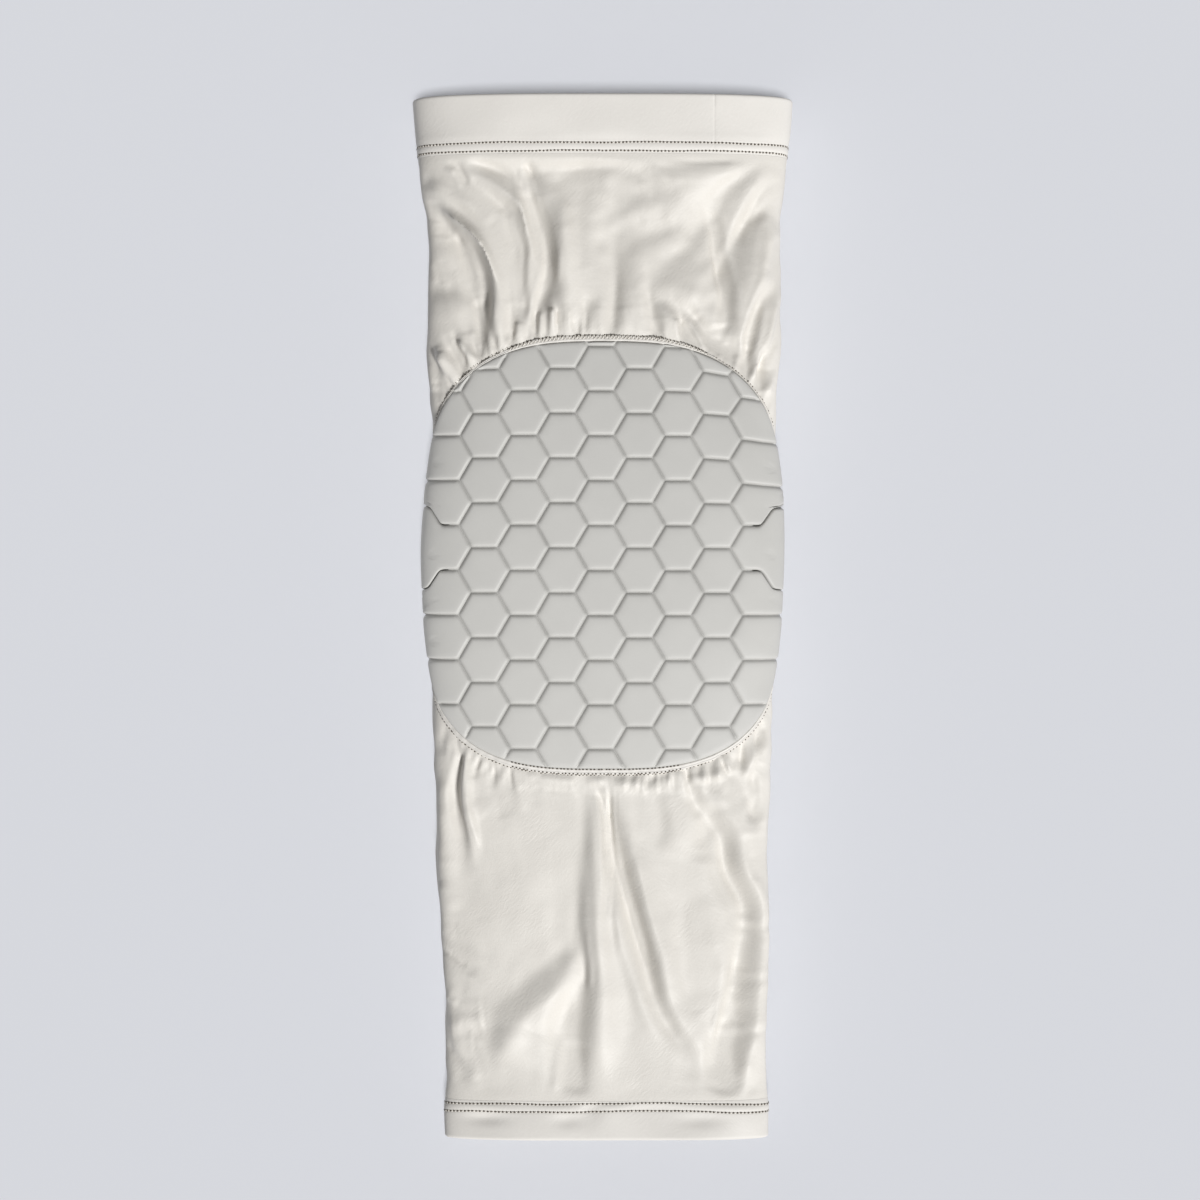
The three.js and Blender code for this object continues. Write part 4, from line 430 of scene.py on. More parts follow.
_tree = kdtree.KDTree(3000)
_tree_u = np.linspace(0, OUTLINE_LENGTH, 3001)[:-1]
_tree_p, _ = outline_by_length(_tree_u)
for _i, _q in enumerate(_tree_p):
    _tree.insert((_q[0], _q[1], 0.0), _i)
_tree.balance()


def pad_radius(s, y):
    s, y = np.asarray(s, float), np.asarray(y, float)
    power = np.where(y > PAD_CENTRE_Y, PAD_POWER, PAD_LOWER_POWER)
    length = np.where(y > PAD_CENTRE_Y, PAD_HALF_LENGTH, PAD_LOWER_LENGTH)
    return (np.abs(s / PAD_HALF_WIDTH) ** power + np.abs((y - PAD_CENTRE_Y) / length) ** power) ** (1 / power)


def seam_place(s, y):
    """Signed distance from the pad's outline (+ outside) and the length round it of the nearest place."""
    s, y = np.asarray(s, float).ravel(), np.asarray(y, float).ravel()
    d, u = np.empty(len(s)), np.empty(len(s))
    for i in range(len(s)):
        _, j, far = _tree.find((s[i], y[i], 0.0))
        d[i], u[i] = far, _tree_u[j]
    return np.where(pad_radius(s, y) < 1, -d, d), u


# ------------------------------------------------------------------ folds and gathers
def curve_through(points, n=6):
    P = np.asarray(points, float)
    if len(P) == 2:
        t = np.linspace(0, 1, 5)[:, None]
        return P[0] * (1 - t) + P[1] * t
    Q = np.vstack([2 * P[0] - P[1], P, 2 * P[-1] - P[-2]])
    out = []
    for i in range(1, len(Q) - 2):
        a, b, c, d = Q[i - 1:i + 3]
        for k in range(n):
            t = k / n
            out.append(0.5 * (2 * b + (c - a) * t + (2 * a - 5 * b + 4 * c - d) * t * t + (3 * b - a - 3 * c + d) * t ** 3))
    return np.vstack([out, P[-1]])


def fold_lift(x, y):
    """Lift of the cloth from all the folds, at places seen from above."""
    z = np.zeros(len(x))
    for name, path, w, heights in FOLDS:
        C = curve_through(path)
        A, B = C[:-1], C[1:]
        D = B - A
        L = np.hypot(D[:, 0], D[:, 1])
        run = np.concatenate([[0], np.cumsum(L)])
        total = run[-1]
        reach = 6.2 * w + 2
        near = np.where((x > C[:, 0].min() - reach) & (x < C[:, 0].max() + reach)
                        & (y > C[:, 1].min() - reach) & (y < C[:, 1].max() + reach))[0]
        if not len(near):
            continue
        px, py = x[near][:, None], y[near][:, None]
        raw = ((px - A[:, 0]) * D[:, 0] + (py - A[:, 1]) * D[:, 1]) / L ** 2
        t = np.clip(raw, 0, 1)
        qx, qy = px - A[:, 0] - t * D[:, 0], py - A[:, 1] - t * D[:, 1]
        dist = np.hypot(qx, qy)
        j = np.argmin(dist, axis=1)
        row = np.arange(len(near))
        tj, rj, Lj = t[row, j], raw[row, j], L[j]
        along = (run[j] + tj * Lj) / total
        over = np.where((j == 0) & (rj < 0), -rj * Lj, np.where((j == len(L) - 1) & (rj > 1), (rj - 1) * Lj, 0.0))
        across = (D[j, 0] * (py[:, 0] - A[j, 1]) - D[j, 1] * (px[:, 0] - A[j, 0])) / Lj
        side = np.where(over > 0, across, np.where(across < 0, -1.0, 1.0) * dist[row, j])
        taper = min(0.45, max(0.18, 2.0 * w / total))
        env = (0.15 + 0.85 * ease(along / taper) * ease((1 - along) / taper)) * np.exp(-((over / (1.2 * w)) ** 2))
        stations = along * (len(heights) - 1)
        for n, row_of_heights in enumerate(heights):
            share = env * np.maximum(0.0, 1 - np.abs(stations - n))
            for k in range(-4, 5):
                z[near] += row_of_heights[k + 4] * share * np.exp(-(((side - k * w) / w) ** 2))
    return z


_wave_count = 22
_wave_length = rng.uniform(3.3, 6.2, _wave_count)
_wave_turns = np.maximum(1, np.round(OUTLINE_LENGTH / _wave_length))
_wave_phase = rng.uniform(0, 2 * math.pi, _wave_count)
_wave_size = rng.uniform(0.5, 1.0, _wave_count) * (_wave_length / 5.0) ** 0.8


def gather_lift(d, u):
    """Small puckers that run out from the seam, half way between square to it and lengthwise, and die away."""
    _, normal = outline_by_length(u)
    lean = normal + 0.8 * np.stack([0 * u, np.where(normal[:, 1] < 0, -1.0, 1.0)], 1)
    out_run = np.sum(lean * normal, axis=1)
    side_run = lean[:, 1] * normal[:, 0] - lean[:, 0] * normal[:, 1]
    from_u = u - np.clip(side_run / out_run, -1.2, 1.2) * np.maximum(d, 0)
    strength = np.interp(outline_degrees(u), GATHERS[:, 0], GATHERS[:, 1])
    reach = np.where(normal[:, 1] < 0, 0.75, 1.15)
    out = np.zeros(len(u))
    for turns, phase, size, length in zip(_wave_turns, _wave_phase, _wave_size, _wave_length):
        out += size * np.cos(2 * math.pi * turns * from_u / OUTLINE_LENGTH + phase) * np.exp(-np.maximum(d, 0) / (reach * length))
    out = out / math.sqrt(_wave_count)
    out = np.where(out > 0, out * 0.6, out * 1.2)
    out = 0.12 * strength * out
    for place, width, rise, far in PUCKERS:
        t = (np.mod(from_u - place + OUTLINE_LENGTH / 2, OUTLINE_LENGTH) - OUTLINE_LENGTH / 2) / width
        out += rise * t * np.exp(-t * t - (np.maximum(d, 0) / far) ** 1.6)
    return out * ease((d + 1.2) / 1.8)


_noise_dir = rng.uniform(0, math.pi, 60)
_noise_k = 2 * math.pi / rng.uniform(6.0, 38.0, 60)
_noise_phase = rng.uniform(0, 2 * math.pi, 60)


def cloth_noise(x, y):
    """Slow unevenness of soft cloth."""
    out = np.zeros(len(x))
    for a, k, p in zip(_noise_dir, _noise_k, _noise_phase):
        out += np.cos(k * (x * math.cos(a) + y * math.sin(a)) + p) * (0.35 / k) ** 0.9
    return out / math.sqrt(60)


def body_lift(s, y):
    s, y = s.ravel(), y.ravel()
    P, N = on_tube(s, y)
    k = CHART_SCALE * CAMERA_FOCAL * 1200.0 / (CAMERA_HEIGHT - P[:, 2])
    cx, cy = P[:, 0] * k, (y - CAMERA_Y) * k + CAMERA_Y
    front = np.clip(N[:, 2], 0, 1) * ease((P[:, 2] - 6) / 10)
    d, u = seam_place(s, y)
    ends = ease((TOP_JOIN - 0.3 - y) / 4.0) * ease((y - BOTTOM_JOIN - 0.3) / 5.0)
    away = d - seam_width(u)
    near_pad = 0.35 + 0.65 * ease((d - 0.9) / 2.6)
    turn = outline_degrees(u)
    calm = 1 - 0.6 * ease((turn - 122) / 12) * ease((174 - turn) / 10) * ease((12 - d) / 8)
    lift = fold_lift(cx, cy) * front * ends * near_pad * calm
    lift += gather_lift(away, u) * ends
    lift += (0.10 + 0.30 * (1 - np.clip(N[:, 2] / 0.5, 0, 1))) * cloth_noise(P[:, 0] + 0.8 * P[:, 2], y) * ends * ease((d - 2.0) / 4.0) * ease((P[:, 2] - 1.0) / 6.0)
    lower = ease(-np.sin(np.radians(turn)) / 0.4)
    most = 0.26 + 0.24 * lower + (0.37 + 0.28 * lower) * np.maximum(away, 0)
    lift = lift / (1 + (np.abs(lift) / most) ** 3) ** (1 / 3)
    deepest = 0.5 + 0.16 * np.maximum(y - BOTTOM_JOIN, 0)
    lift = np.where(lift < 0, lift / (1 + (np.abs(lift) / deepest) ** 3) ** (1 / 3), lift)
    lift += -0.10 * (1 - ease((TOP_JOIN - y) / 1.6)) - 0.03 * (1 - ease((y - BOTTOM_JOIN) / 1.6))
    return lift


# ------------------------------------------------------------------ meshes
def make_object(name, verts, faces, material, uv=None, sharp=60.0, smooth=True, materials=None, material_index=None):
    mesh = bpy.data.meshes.new(name)
    mesh.from_pydata((np.asarray(verts) * MM).tolist(), [], [list(map(int, f)) for f in faces])
    mesh.validate(verbose=False)
    mesh.update()
    for m in (materials or [material]):
        mesh.materials.append(m)
    if material_index is not None:
        mesh.polygons.foreach_set("material_index", np.asarray(material_index, np.int32))
    if smooth:
        mesh.polygons.foreach_set("use_smooth", np.ones(len(mesh.polygons), bool))
        if sharp:
            mesh.set_sharp_from_angle(angle=math.radians(sharp))
    if uv is not None:
        layer = mesh.uv_layers.new(name="weave")
        index = np.empty(len(mesh.loops), np.int32)
        mesh.loops.foreach_get("vertex_index", index)
        layer.data.foreach_set("uv", np.asarray(uv, np.float32)[index].ravel())
    obj = bpy.data.objects.new(name, mesh)
    bpy.context.scene.collection.objects.link(obj)
    return obj


def round_stations(y, front, lower, flat, extra=()):
    """Lengths round from the crest for a whole loop, starting at the middle of the underside."""
    crown, foot, half = section_lengths(y)
    right = list(crown * np.arange(front) / front)
    right += list(crown + (foot - crown) * np.arange(lower) / lower)
    right += list(foot + (half - foot) * np.arange(flat) / flat)
    left = [-v for v in right[1:]][::-1]
    return np.array([-half] + left + right)


def thread_pieces(centre, along, up, length, radius, squash=0.8, sides=6, sink=1.0):
    """Many short rounded pieces of thread in one mesh."""
    centre, along, up = np.asarray(centre), np.asarray(along), np.asarray(up)
    n = len(centre)
    length = np.broadcast_to(np.asarray(length, float), (n,))
    radius = np.broadcast_to(np.asarray(radius, float), (n,))
    along = along / np.linalg.norm(along, axis=1)[:, None]
    up = up - along * np.sum(up * along, axis=1)[:, None]
    up = up / np.linalg.norm(up, axis=1)[:, None]
    across = np.cross(along, up)
    t = np.array([-1, -0.86, -0.5, 0.5, 0.86, 1.0])
    r = np.array([0.22, 0.72, 1, 1, 0.72, 0.22])
    bow = sink * np.array([-0.9, -0.35, 0.1, 0.1, -0.35, -0.9])
    a = 2 * math.pi * np.arange(sides) / sides
    V = (centre[:, None, None, :]
         + along[:, None, None, :] * (t[None, :, None] * length[:, None, None] / 2)[..., None]
         + up[:, None, None, :] * (radius[:, None, None] * (r[None, :, None] * np.cos(a)[None, None, :] * squash + bow[None, :, None]))[..., None]
         + across[:, None, None, :] * (radius[:, None, None] * r[None, :, None] * np.sin(a)[None, None, :])[..., None])
    rings = len(t)
    faces = []
    base = np.arange(n) * rings * sides
    for i in range(rings - 1):
        for j in range(sides):
            m = (j + 1) % sides
            faces.append(np.stack([base + i * sides + j, base + i * sides + m, base + (i + 1) * sides + m, base + (i + 1) * sides + j], 1))
    quads = np.concatenate(faces).tolist()
    first = (base[:, None] + np.arange(sides)[None, ::-1]).tolist()
    last = (base[:, None] + (rings - 1) * sides + np.arange(sides)[None, :]).tolist()
    return V.reshape(-1, 3), quads + first + last


def joined(parts):
    verts, faces, kinds, start = [], [], [], 0
    for v, f, kind in parts:
        verts.append(v)
        faces += [[i + start for i in face] for face in f]
        kinds += [kind] * len(f)
        start += len(v)
    return np.vstack(verts), faces, kinds


# ------------------------------------------------------------------ materials
def new_material(name):
    m = bpy.data.materials.new(name)
    m.use_nodes = True
    t = m.node_tree
    return m, t, t.nodes["Principled BSDF"]


def node(t, kind, **values):
    n = t.nodes.new(kind)
    for k, v in values.items():
        setattr(n, k, v)
    return n


def put(n, **values):
    for k, v in values.items():
        n.inputs[k.replace("_", " ")].default_value = v
    return n


def math_node(t, op, a, b=None, c=None):
    n = node(t, "ShaderNodeMath", operation=op)
    for i, v in enumerate((a, b, c)):
        if v is None:
            continue
        if isinstance(v, (int, float)):
            n.inputs[i].default_value = v
        else:
            t.links.new(v, n.inputs[i])
    return n.outputs[0]


def knit_fabric(name, light, dark, roughness, bump, fade):
    """Fine stretch knit: columns of small V stitches, uneven yarn, a soft sheen; it darkens along the tube as fade
    says, which on the body is painted shade towards the wide end.
    """
    m, t, p = new_material(name)
    uv = node(t, "ShaderNodeUVMap", uv_map="weave")
    xyz = node(t, "ShaderNodeSeparateXYZ")
    t.links.new(uv.outputs[0], xyz.inputs[0])
    wale = math_node(t, "MULTIPLY", xyz.outputs[0], 1 / 0.62)
    cell = math_node(t, "ABSOLUTE", math_node(t, "SUBTRACT", math_node(t, "FRACT", wale), 0.5))
    course = math_node(t, "MULTIPLY_ADD", cell, 0.9, math_node(t, "MULTIPLY", xyz.outputs[1], 1 / 0.5))
    loops = math_node(t, "SINE", math_node(t, "MULTIPLY", course, 2 * math.pi))
    ribs = math_node(t, "SINE", math_node(t, "MULTIPLY", cell, 2 * math.pi))
    knit = math_node(t, "MULTIPLY_ADD", loops, 0.35, ribs)
    fuzz = put(node(t, "ShaderNodeTexNoise"), Scale=2.1, Detail=3.0, Roughness=0.6)
    t.links.new(uv.outputs[0], fuzz.inputs["Vector"])
    # Fine crepe: short slanted wrinkles in patches.
    crepe = []
    for turn in (0.70, -0.75):
        lay = node(t, "ShaderNodeMapping", vector_type="TEXTURE")
        lay.inputs["Rotation"].default_value = (0, 0, turn)
        lay.inputs["Scale"].default_value = (0.62, 2.0, 1)
        t.links.new(uv.outputs[0], lay.inputs["Vector"])
        wrinkle = put(node(t, "ShaderNodeTexNoise"), Scale=0.75, Detail=2.0, Roughness=0.55, Distortion=0.5)
        t.links.new(lay.outputs[0], wrinkle.inputs["Vector"])
        crepe.append(wrinkle.outputs[0])
    patch = put(node(t, "ShaderNodeTexNoise"), Scale=0.055, Detail=1.0, Roughness=0.5)
    t.links.new(uv.outputs[0], patch.inputs["Vector"])
    side = node(t, "ShaderNodeMapRange")
    put(side, From_Min=0.42, From_Max=0.58)
    t.links.new(patch.outputs[0], side.inputs[0])
    one = math_node(t, "MULTIPLY", crepe[0], side.outputs[0])
    other = math_node(t, "MULTIPLY", crepe[1], math_node(t, "SUBTRACT", 1.0, side.outputs[0]))
    height = math_node(t, "MULTIPLY_ADD", knit, 0.05, math_node(t, "MULTIPLY", fuzz.outputs[0], 0.36))
    height = math_node(t, "MULTIPLY_ADD", math_node(t, "ADD", one, other), 0.7, height)
    b = put(node(t, "ShaderNodeBump"), Strength=bump, Distance=0.00015)
    t.links.new(height, b.inputs["Height"])
    t.links.new(b.outputs[0], p.inputs["Normal"])
    blotch = put(node(t, "ShaderNodeTexNoise"), Scale=0.055, Detail=4.0, Roughness=0.55)
    t.links.new(uv.outputs[0], blotch.inputs["Vector"])
    speck = put(node(t, "ShaderNodeTexNoise"), Scale=1.3, Detail=2.0, Roughness=0.6)
    t.links.new(uv.outputs[0], speck.inputs["Vector"])
    amount = math_node(t, "MULTIPLY_ADD", speck.outputs[0], 0.35, math_node(t, "MULTIPLY", blotch.outputs[0], 0.65))
    # Darker along the tube as fade says: on the body this is painted shade over its upper part; on the hem material it
    # makes the narrow band darker than the wide one.
    greyer = node(t, "ShaderNodeMapRange", interpolation_type="SMOOTHSTEP")
    put(greyer, From_Min=fade[0], From_Max=fade[1], To_Min=0.0, To_Max=fade[2])
    t.links.new(xyz.outputs[1], greyer.inputs[0])
    amount = math_node(t, "SUBTRACT", amount, greyer.outputs[0])
    ramp = node(t, "ShaderNodeValToRGB")
    ramp.color_ramp.elements[0].position, ramp.color_ramp.elements[1].position = 0.15, 0.65
    ramp.color_ramp.elements[0].color, ramp.color_ramp.elements[1].color = (*dark, 1), (*light, 1)
    t.links.new(amount, ramp.inputs[0])
    t.links.new(ramp.outputs[0], p.inputs["Base Color"])
    rough = node(t, "ShaderNodeMapRange")
    put(rough, To_Min=roughness - 0.06, To_Max=roughness + 0.06)
    t.links.new(speck.outputs[0], rough.inputs[0])
    t.links.new(rough.outputs[0], p.inputs["Roughness"])
    p.inputs["Specular IOR Level"].default_value = 0.35
    p.inputs["Sheen Weight"].default_value = 0.03
    p.inputs["Sheen Roughness"].default_value = 0.45
    return m


def foam_skin(name, light, dark):
    """Moulded foam with a matt skin: fine pores, faint mottling, and painted shade darkening the grooves."""
    m, t, p = new_material(name)
    uv = node(t, "ShaderNodeUVMap", uv_map="weave")
    pores = put(node(t, "ShaderNodeTexNoise"), Scale=1.8, Detail=4.0, Roughness=0.65)
    t.links.new(uv.outputs[0], pores.inputs["Vector"])
    b = put(node(t, "ShaderNodeBump"), Strength=0.07, Distance=0.0003)
    t.links.new(pores.outputs[0], b.inputs["Height"])
    t.links.new(b.outputs[0], p.inputs["Normal"])
    blotch = put(node(t, "ShaderNodeTexNoise"), Scale=0.05, Detail=4.0, Roughness=0.6)
    t.links.new(uv.outputs[0], blotch.inputs["Vector"])
    amount = math_node(t, "MULTIPLY_ADD", pores.outputs[0], 0.3, math_node(t, "MULTIPLY", blotch.outputs[0], 0.7))
    # Painted shade: the colour darkens into each groove, by how far the foam sinks there below the cell's top.
    deep = node(t, "ShaderNodeUVMap", uv_map="depth")
    deep_xyz = node(t, "ShaderNodeSeparateXYZ")
    t.links.new(deep.outputs[0], deep_xyz.inputs[0])
    groove = put(node(t, "ShaderNodeMapRange"), From_Min=0.25, From_Max=2.0, To_Min=0.0, To_Max=0.80)
    t.links.new(deep_xyz.outputs[0], groove.inputs[0])
    amount = math_node(t, "SUBTRACT", math_node(t, "MULTIPLY_ADD", amount, 0.5, 0.5), groove.outputs[0])
    ramp = node(t, "ShaderNodeValToRGB")
    ramp.color_ramp.elements[0].position, ramp.color_ramp.elements[1].position = 0.0, 0.85
    # The two darkest stops are reached only in the grooves and carry that painted shade.
    ramp.color_ramp.elements[0].color, ramp.color_ramp.elements[1].color = (*[0.35 * c for c in dark], 1), (*light, 1)
    ramp.color_ramp.elements.new(0.38).color = (*[0.74 * c for c in dark], 1)
    ramp.color_ramp.elements.new(0.65).color = (*dark, 1)
    t.links.new(amount, ramp.inputs[0])
    t.links.new(ramp.outputs[0], p.inputs["Base Color"])
    rough = node(t, "ShaderNodeMapRange")
    put(rough, To_Min=0.5, To_Max=0.64)
    t.links.new(pores.outputs[0], rough.inputs[0])
    t.links.new(rough.outputs[0], p.inputs["Roughness"])
    p.inputs["Specular IOR Level"].default_value = 0.4
    return m


def sewing_thread(name, light, dark):
    m, t, p = new_material(name)
    where = node(t, "ShaderNodeTexCoord")
    twist = put(node(t, "ShaderNodeTexNoise"), Scale=1400.0, Detail=2.0, Roughness=0.6)
    t.links.new(where.outputs["Object"], twist.inputs["Vector"])
    ramp = node(t, "ShaderNodeValToRGB")
    ramp.color_ramp.elements[0].position, ramp.color_ramp.elements[1].position = 0.3, 0.7
    ramp.color_ramp.elements[0].color, ramp.color_ramp.elements[1].color = (*dark, 1), (*light, 1)
    t.links.new(twist.outputs[0], ramp.inputs[0])
    t.links.new(ramp.outputs[0], p.inputs["Base Color"])
    p.inputs["Roughness"].default_value = 0.6
    p.inputs["Specular IOR Level"].default_value = 0.3
    return m


# The body's fade is painted shade, darker over its upper part; the hem's fade makes the narrow band darker than the
# wide one.
FABRIC = knit_fabric("stretch_knit", (0.757, 0.727, 0.677), (0.690, 0.660, 0.611), 0.5, 1.0, (60.0, 125.0, 0.24))
HEM = knit_fabric("hem_knit", (0.763, 0.736, 0.694), (0.700, 0.674, 0.634), 0.52, 0.7, (-100.0, -170.0, 0.16))
FOAM = foam_skin("foam_skin", (0.560, 0.552, 0.528), (0.526, 0.518, 0.495))
THREAD = sewing_thread("thread", (0.80, 0.765, 0.70), (0.70, 0.66, 0.60))
# Dark pieces that stand for the needle holes between the threads: painted shade of the holes.
HOLE_SHADE = sewing_thread("needle_hole_shade", (0.140, 0.118, 0.094), (0.090, 0.075, 0.060))

# ------------------------------------------------------------------ fabric tube
FRONT, LOWER, FLAT = 112, 6, 6
rows_y = np.concatenate([
    np.arange(BOTTOM_JOIN, -48.0, 0.86),
    np.arange(-48.0, 70.0, 1.7),
    np.arange(70.0, TOP_JOIN - 0.4, 0.68),
    [TOP_JOIN],
])
body_s = np.stack([round_stations(y, FRONT, LOWER, FLAT) for y in rows_y])
body_y = np.repeat(rows_y[:, None], body_s.shape[1], axis=1)
HOLE_OFFSET = 0.45
d_flat, u_flat = seam_place(body_s, body_y)
d_grid = d_flat.reshape(body_s.shape) - HOLE_OFFSET
nr, nc = body_s.shape
ok_vertex = d_grid >= 0
quads = []
for i in range(nr - 1):
    for j in range(nc):
        m = (j + 1) % nc
        if ok_vertex[i, j] and ok_vertex[i, m] and ok_vertex[i + 1, m] and ok_vertex[i + 1, j]:
            quads.append((i * nc + j, i * nc + m, (i + 1) * nc + m, (i + 1) * nc + j))
quads = np.array(quads)
# The cut edge is drawn in to the seam line.
edge_use = {}
for q in quads:
    for a, b in ((q[0], q[1]), (q[1], q[2]), (q[2], q[3]), (q[3], q[0])):
        edge_use[(a, b)] = True
open_edges = [(a, b) for a, b in edge_use if (b, a) not in edge_use]
hole_vertices = {v for e in open_edges for v in e if nc <= v < (nr - 1) * nc}
flat_s, flat_y = body_s.ravel().copy(), body_y.ravel().copy()
hole_list = np.array(sorted(hole_vertices))
snap, _ = outline_by_length(u_flat[hole_list], HOLE_OFFSET)
flat_s[hole_list], flat_y[hole_list] = snap[:, 0], snap[:, 1]
used = np.unique(quads)
remap = -np.ones(nr * nc, int)
remap[used] = np.arange(len(used))
quads = remap[quads]
su, yu = flat_s[used], flat_y[used]
lift = body_lift(su, yu)
outer, _ = on_tube(su, yu, lift)
n_outer = len(used)
# The inner face is plainer: wide triangles between the same edges, in a flat unrolled plan.
rim_old = np.concatenate([hole_list, np.arange(nc), (nr - 1) * nc + np.arange(nc)])
half_of = lambda y: section_lengths(y)[2]
plan_x = [flat_s[rim_old] / half_of(flat_y[rim_old])]
plan_y = [flat_y[rim_old]]
side_y = np.linspace(BOTTOM_JOIN, TOP_JOIN, 130)
plan_x += [np.full(130, 1.0), np.full(128, -1.0)]
plan_y += [side_y, side_y[1:-1]]
mesh_x, mesh_y = np.meshgrid(np.linspace(-1, 1, 131)[1:-1], np.linspace(BOTTOM_JOIN, TOP_JOIN, 150)[1:-1])
mesh_x, mesh_y = mesh_x.ravel(), mesh_y.ravel()
far_d, _ = seam_place(mesh_x * half_of(mesh_y), mesh_y)
plan_x, plan_y = np.concatenate(plan_x + [mesh_x[far_d > 2.6]]), np.concatenate(plan_y + [mesh_y[far_d > 2.6]])
cut = geometry.delaunay_2d_cdt([Vector((140 * x, y)) for x, y in zip(plan_x, plan_y)], [], [], 0, 1e-5)
source = np.array([o[0] for o in cut[3]])
tri = source[np.array(cut[2])]
tx, ty = plan_x[tri].mean(1), plan_y[tri].mean(1)
tri = tri[pad_radius(tx * half_of(ty), ty) > 1.0 + 0.15 / PAD_HALF_WIDTH]
n_rim = len(rim_old)
weld = np.arange(len(plan_x))
weld[n_rim] = len(hole_list)
weld[n_rim + 129] = len(hole_list) + nc
weld[n_rim + 1:n_rim + 129] = np.arange(n_rim + 130, n_rim + 258)
tri = weld[tri]
inner_s, inner_y = plan_x * half_of(plan_y), plan_y
low = np.min([body_lift(inner_s + ds, np.clip(inner_y + dy, BOTTOM_JOIN, TOP_JOIN)) for ds, dy in ((0, 0), (1.1, 0), (-1.1, 0), (0, 1.1), (0, -1.1))], axis=0)
low[:n_rim] = body_lift(inner_s[:n_rim], inner_y[:n_rim])
inner, _ = on_tube(inner_s, inner_y, low - FABRIC_WALL)
inner_of = {int(o): n_outer + i for i, o in enumerate(rim_old)}
faces = quads.tolist() + (tri[:, ::-1] + n_outer).tolist()
for a, c in open_edges:
    faces.append([remap[c], remap[a], inner_of[int(a)], inner_of[int(c)]])
uv = np.vstack([np.stack([su, yu], 1), np.stack([inner_s, inner_y], 1)])
kept = np.zeros(n_outer + len(inner), bool)
for f in faces:
    kept[list(f)] = True
place = np.cumsum(kept) - 1
faces = [[place[i] for i in f] for f in faces]
body = make_object("sleeve_fabric", np.vstack([outer, inner])[kept], faces, FABRIC, uv=uv[kept], sharp=75)

# ------------------------------------------------------------------ hems
STITCH_TOP = (168.75, 165.85)
STITCH_BOTTOM = (-172.5, -175.3)
BAND_JOIN_S = 39.5       # upright join of the wide hem


def top_row_y(s, y):
    return y + 0.10 * np.sin(s / 9.0 + y) + 0.06 * np.sin(s / 4.1 + 2 * y)


def bottom_row_y(s, y):
    front = np.abs(s) < 80
    return y - np.where(front, 1.0, 1.0) * 1.1 * np.clip(np.abs(s) / 62, 0, 1) ** 3 + 0.25 * np.sin(s / 11.0) + 0.08 * np.sin(s / 4.3 + y)


def top_band_lift(s, y):
    out = 0.12 * bell(y, 0.5 * (top_row_y(s, STITCH_TOP[0]) + top_row_y(s, STITCH_TOP[1])), 1.0)
    for row in STITCH_TOP:
        out = out - 0.13 * bell(y, top_row_y(s, row), 0.45)
    out = out + 0.10 * ease((y - 169.6) / 1.6)
    out = out - 0.10 * (1 - ease((y - TOP_JOIN) / 0.7))
    out = out - (0.10 + 0.10 * ease((y - 181) / 3)) * bell(s, BAND_JOIN_S, 0.32) * ease((y - 166) / 2)
    wave = (np.cos(s / 6.3 + 0.4 * np.sin(y / 5)) * 0.4 + np.cos(s / 3.1 + 1.3 + y / 6) * 0.2
            + np.cos(s / 14.0 + y / 9) * 0.9 + np.cos(s / 8.5 - y / 6 + 2.0) * 0.6)
    return out + 0.17 * wave * ease((y - 169) / 4) * (0.35 + 0.65 * bell(y, 176, 7))


def bottom_band_lift(s, y):
    out = 0.10 * bell(y, 0.5 * (bottom_row_y(s, STITCH_BOTTOM[0]) + bottom_row_y(s, STITCH_BOTTOM[1])), 1.0)
    for row in STITCH_BOTTOM:
        out = out - 0.13 * bell(y, bottom_row_y(s, row), 0.45)
    out = out - 0.03 * (1 - ease((BOTTOM_JOIN - y) / 0.6))
    wave = (np.cos(s / 5.7 + 0.5 * np.sin(y / 4)) * 0.5 + np.cos(s / 3.4 + 0.6 + y / 3) * 0.3
            + np.cos(s / 9.0 + 1.0 - y / 7) * 0.7 + np.cos(s / 15.0 + 2.2) * 0.8)
    valley = -0.9 * bell(s, -5.5, 4.0) * ease((y + 184) / 12)
    dent = -0.45 * bell(s, -43, 7) * bell(y, -178.0, 2.2) - 0.35 * bell(s, -14, 5) * bell(y, -178.5, 2.5) - 0.3 * bell(s, 34, 8) * bell(y, -178.5, 2.5)
    return out + (0.30 * wave + valley + 2.0 * dent) * ease((BOTTOM_JOIN - y) / 3)


def hem_band(name, rows, rim_y, lift_of, material, extra=()):
    """A doubled, turned hem: outer face, round rim, inner face."""
    away = 1.0 if rim_y > 0 else -1.0
    profile = [(y, 0.0) for y in rows]
    for a in np.radians([20, 45, 70, 90, 110, 135, 160]):
        profile.append((rim_y - away * 1.0 + away * 1.0 * math.sin(a), 1.0 - 1.0 * math.cos(a)))
    profile += [(y, BAND_WALL) for y in rows[::-1][::3]]
    if profile[-1][0] != rows[0]:
        profile.append((rows[0], BAND_WALL))
    loops, uvs = [], []
    for y, depth in profile:
        s = round_stations(np.clip(y, -HALF_LENGTH, HALF_LENGTH), 84, 8, 10)
        if len(extra):
            s = np.sort(np.concatenate([s, extra]))
        lift = lift_of(s, np.full(len(s), y)) * (1 - 0.9 * depth / BAND_WALL)
        point, _ = on_tube(s, np.full(len(s), y), lift - depth)
        loops.append(point)
        uvs.append(np.stack([s, np.full(len(s), y + 3 * depth)], 1))
    n, count = len(loops), len(loops[0])
    faces = []
    for i in range(n):
        k = (i + 1) % n
        for j in range(count):
            m = (j + 1) % count
            f = [i * count + j, i * count + m, k * count + m, k * count + j]
            faces.append(f if away > 0 else f[::-1])
    return make_object(name, np.vstack(loops), faces, material, uv=np.vstack(uvs), sharp=75)


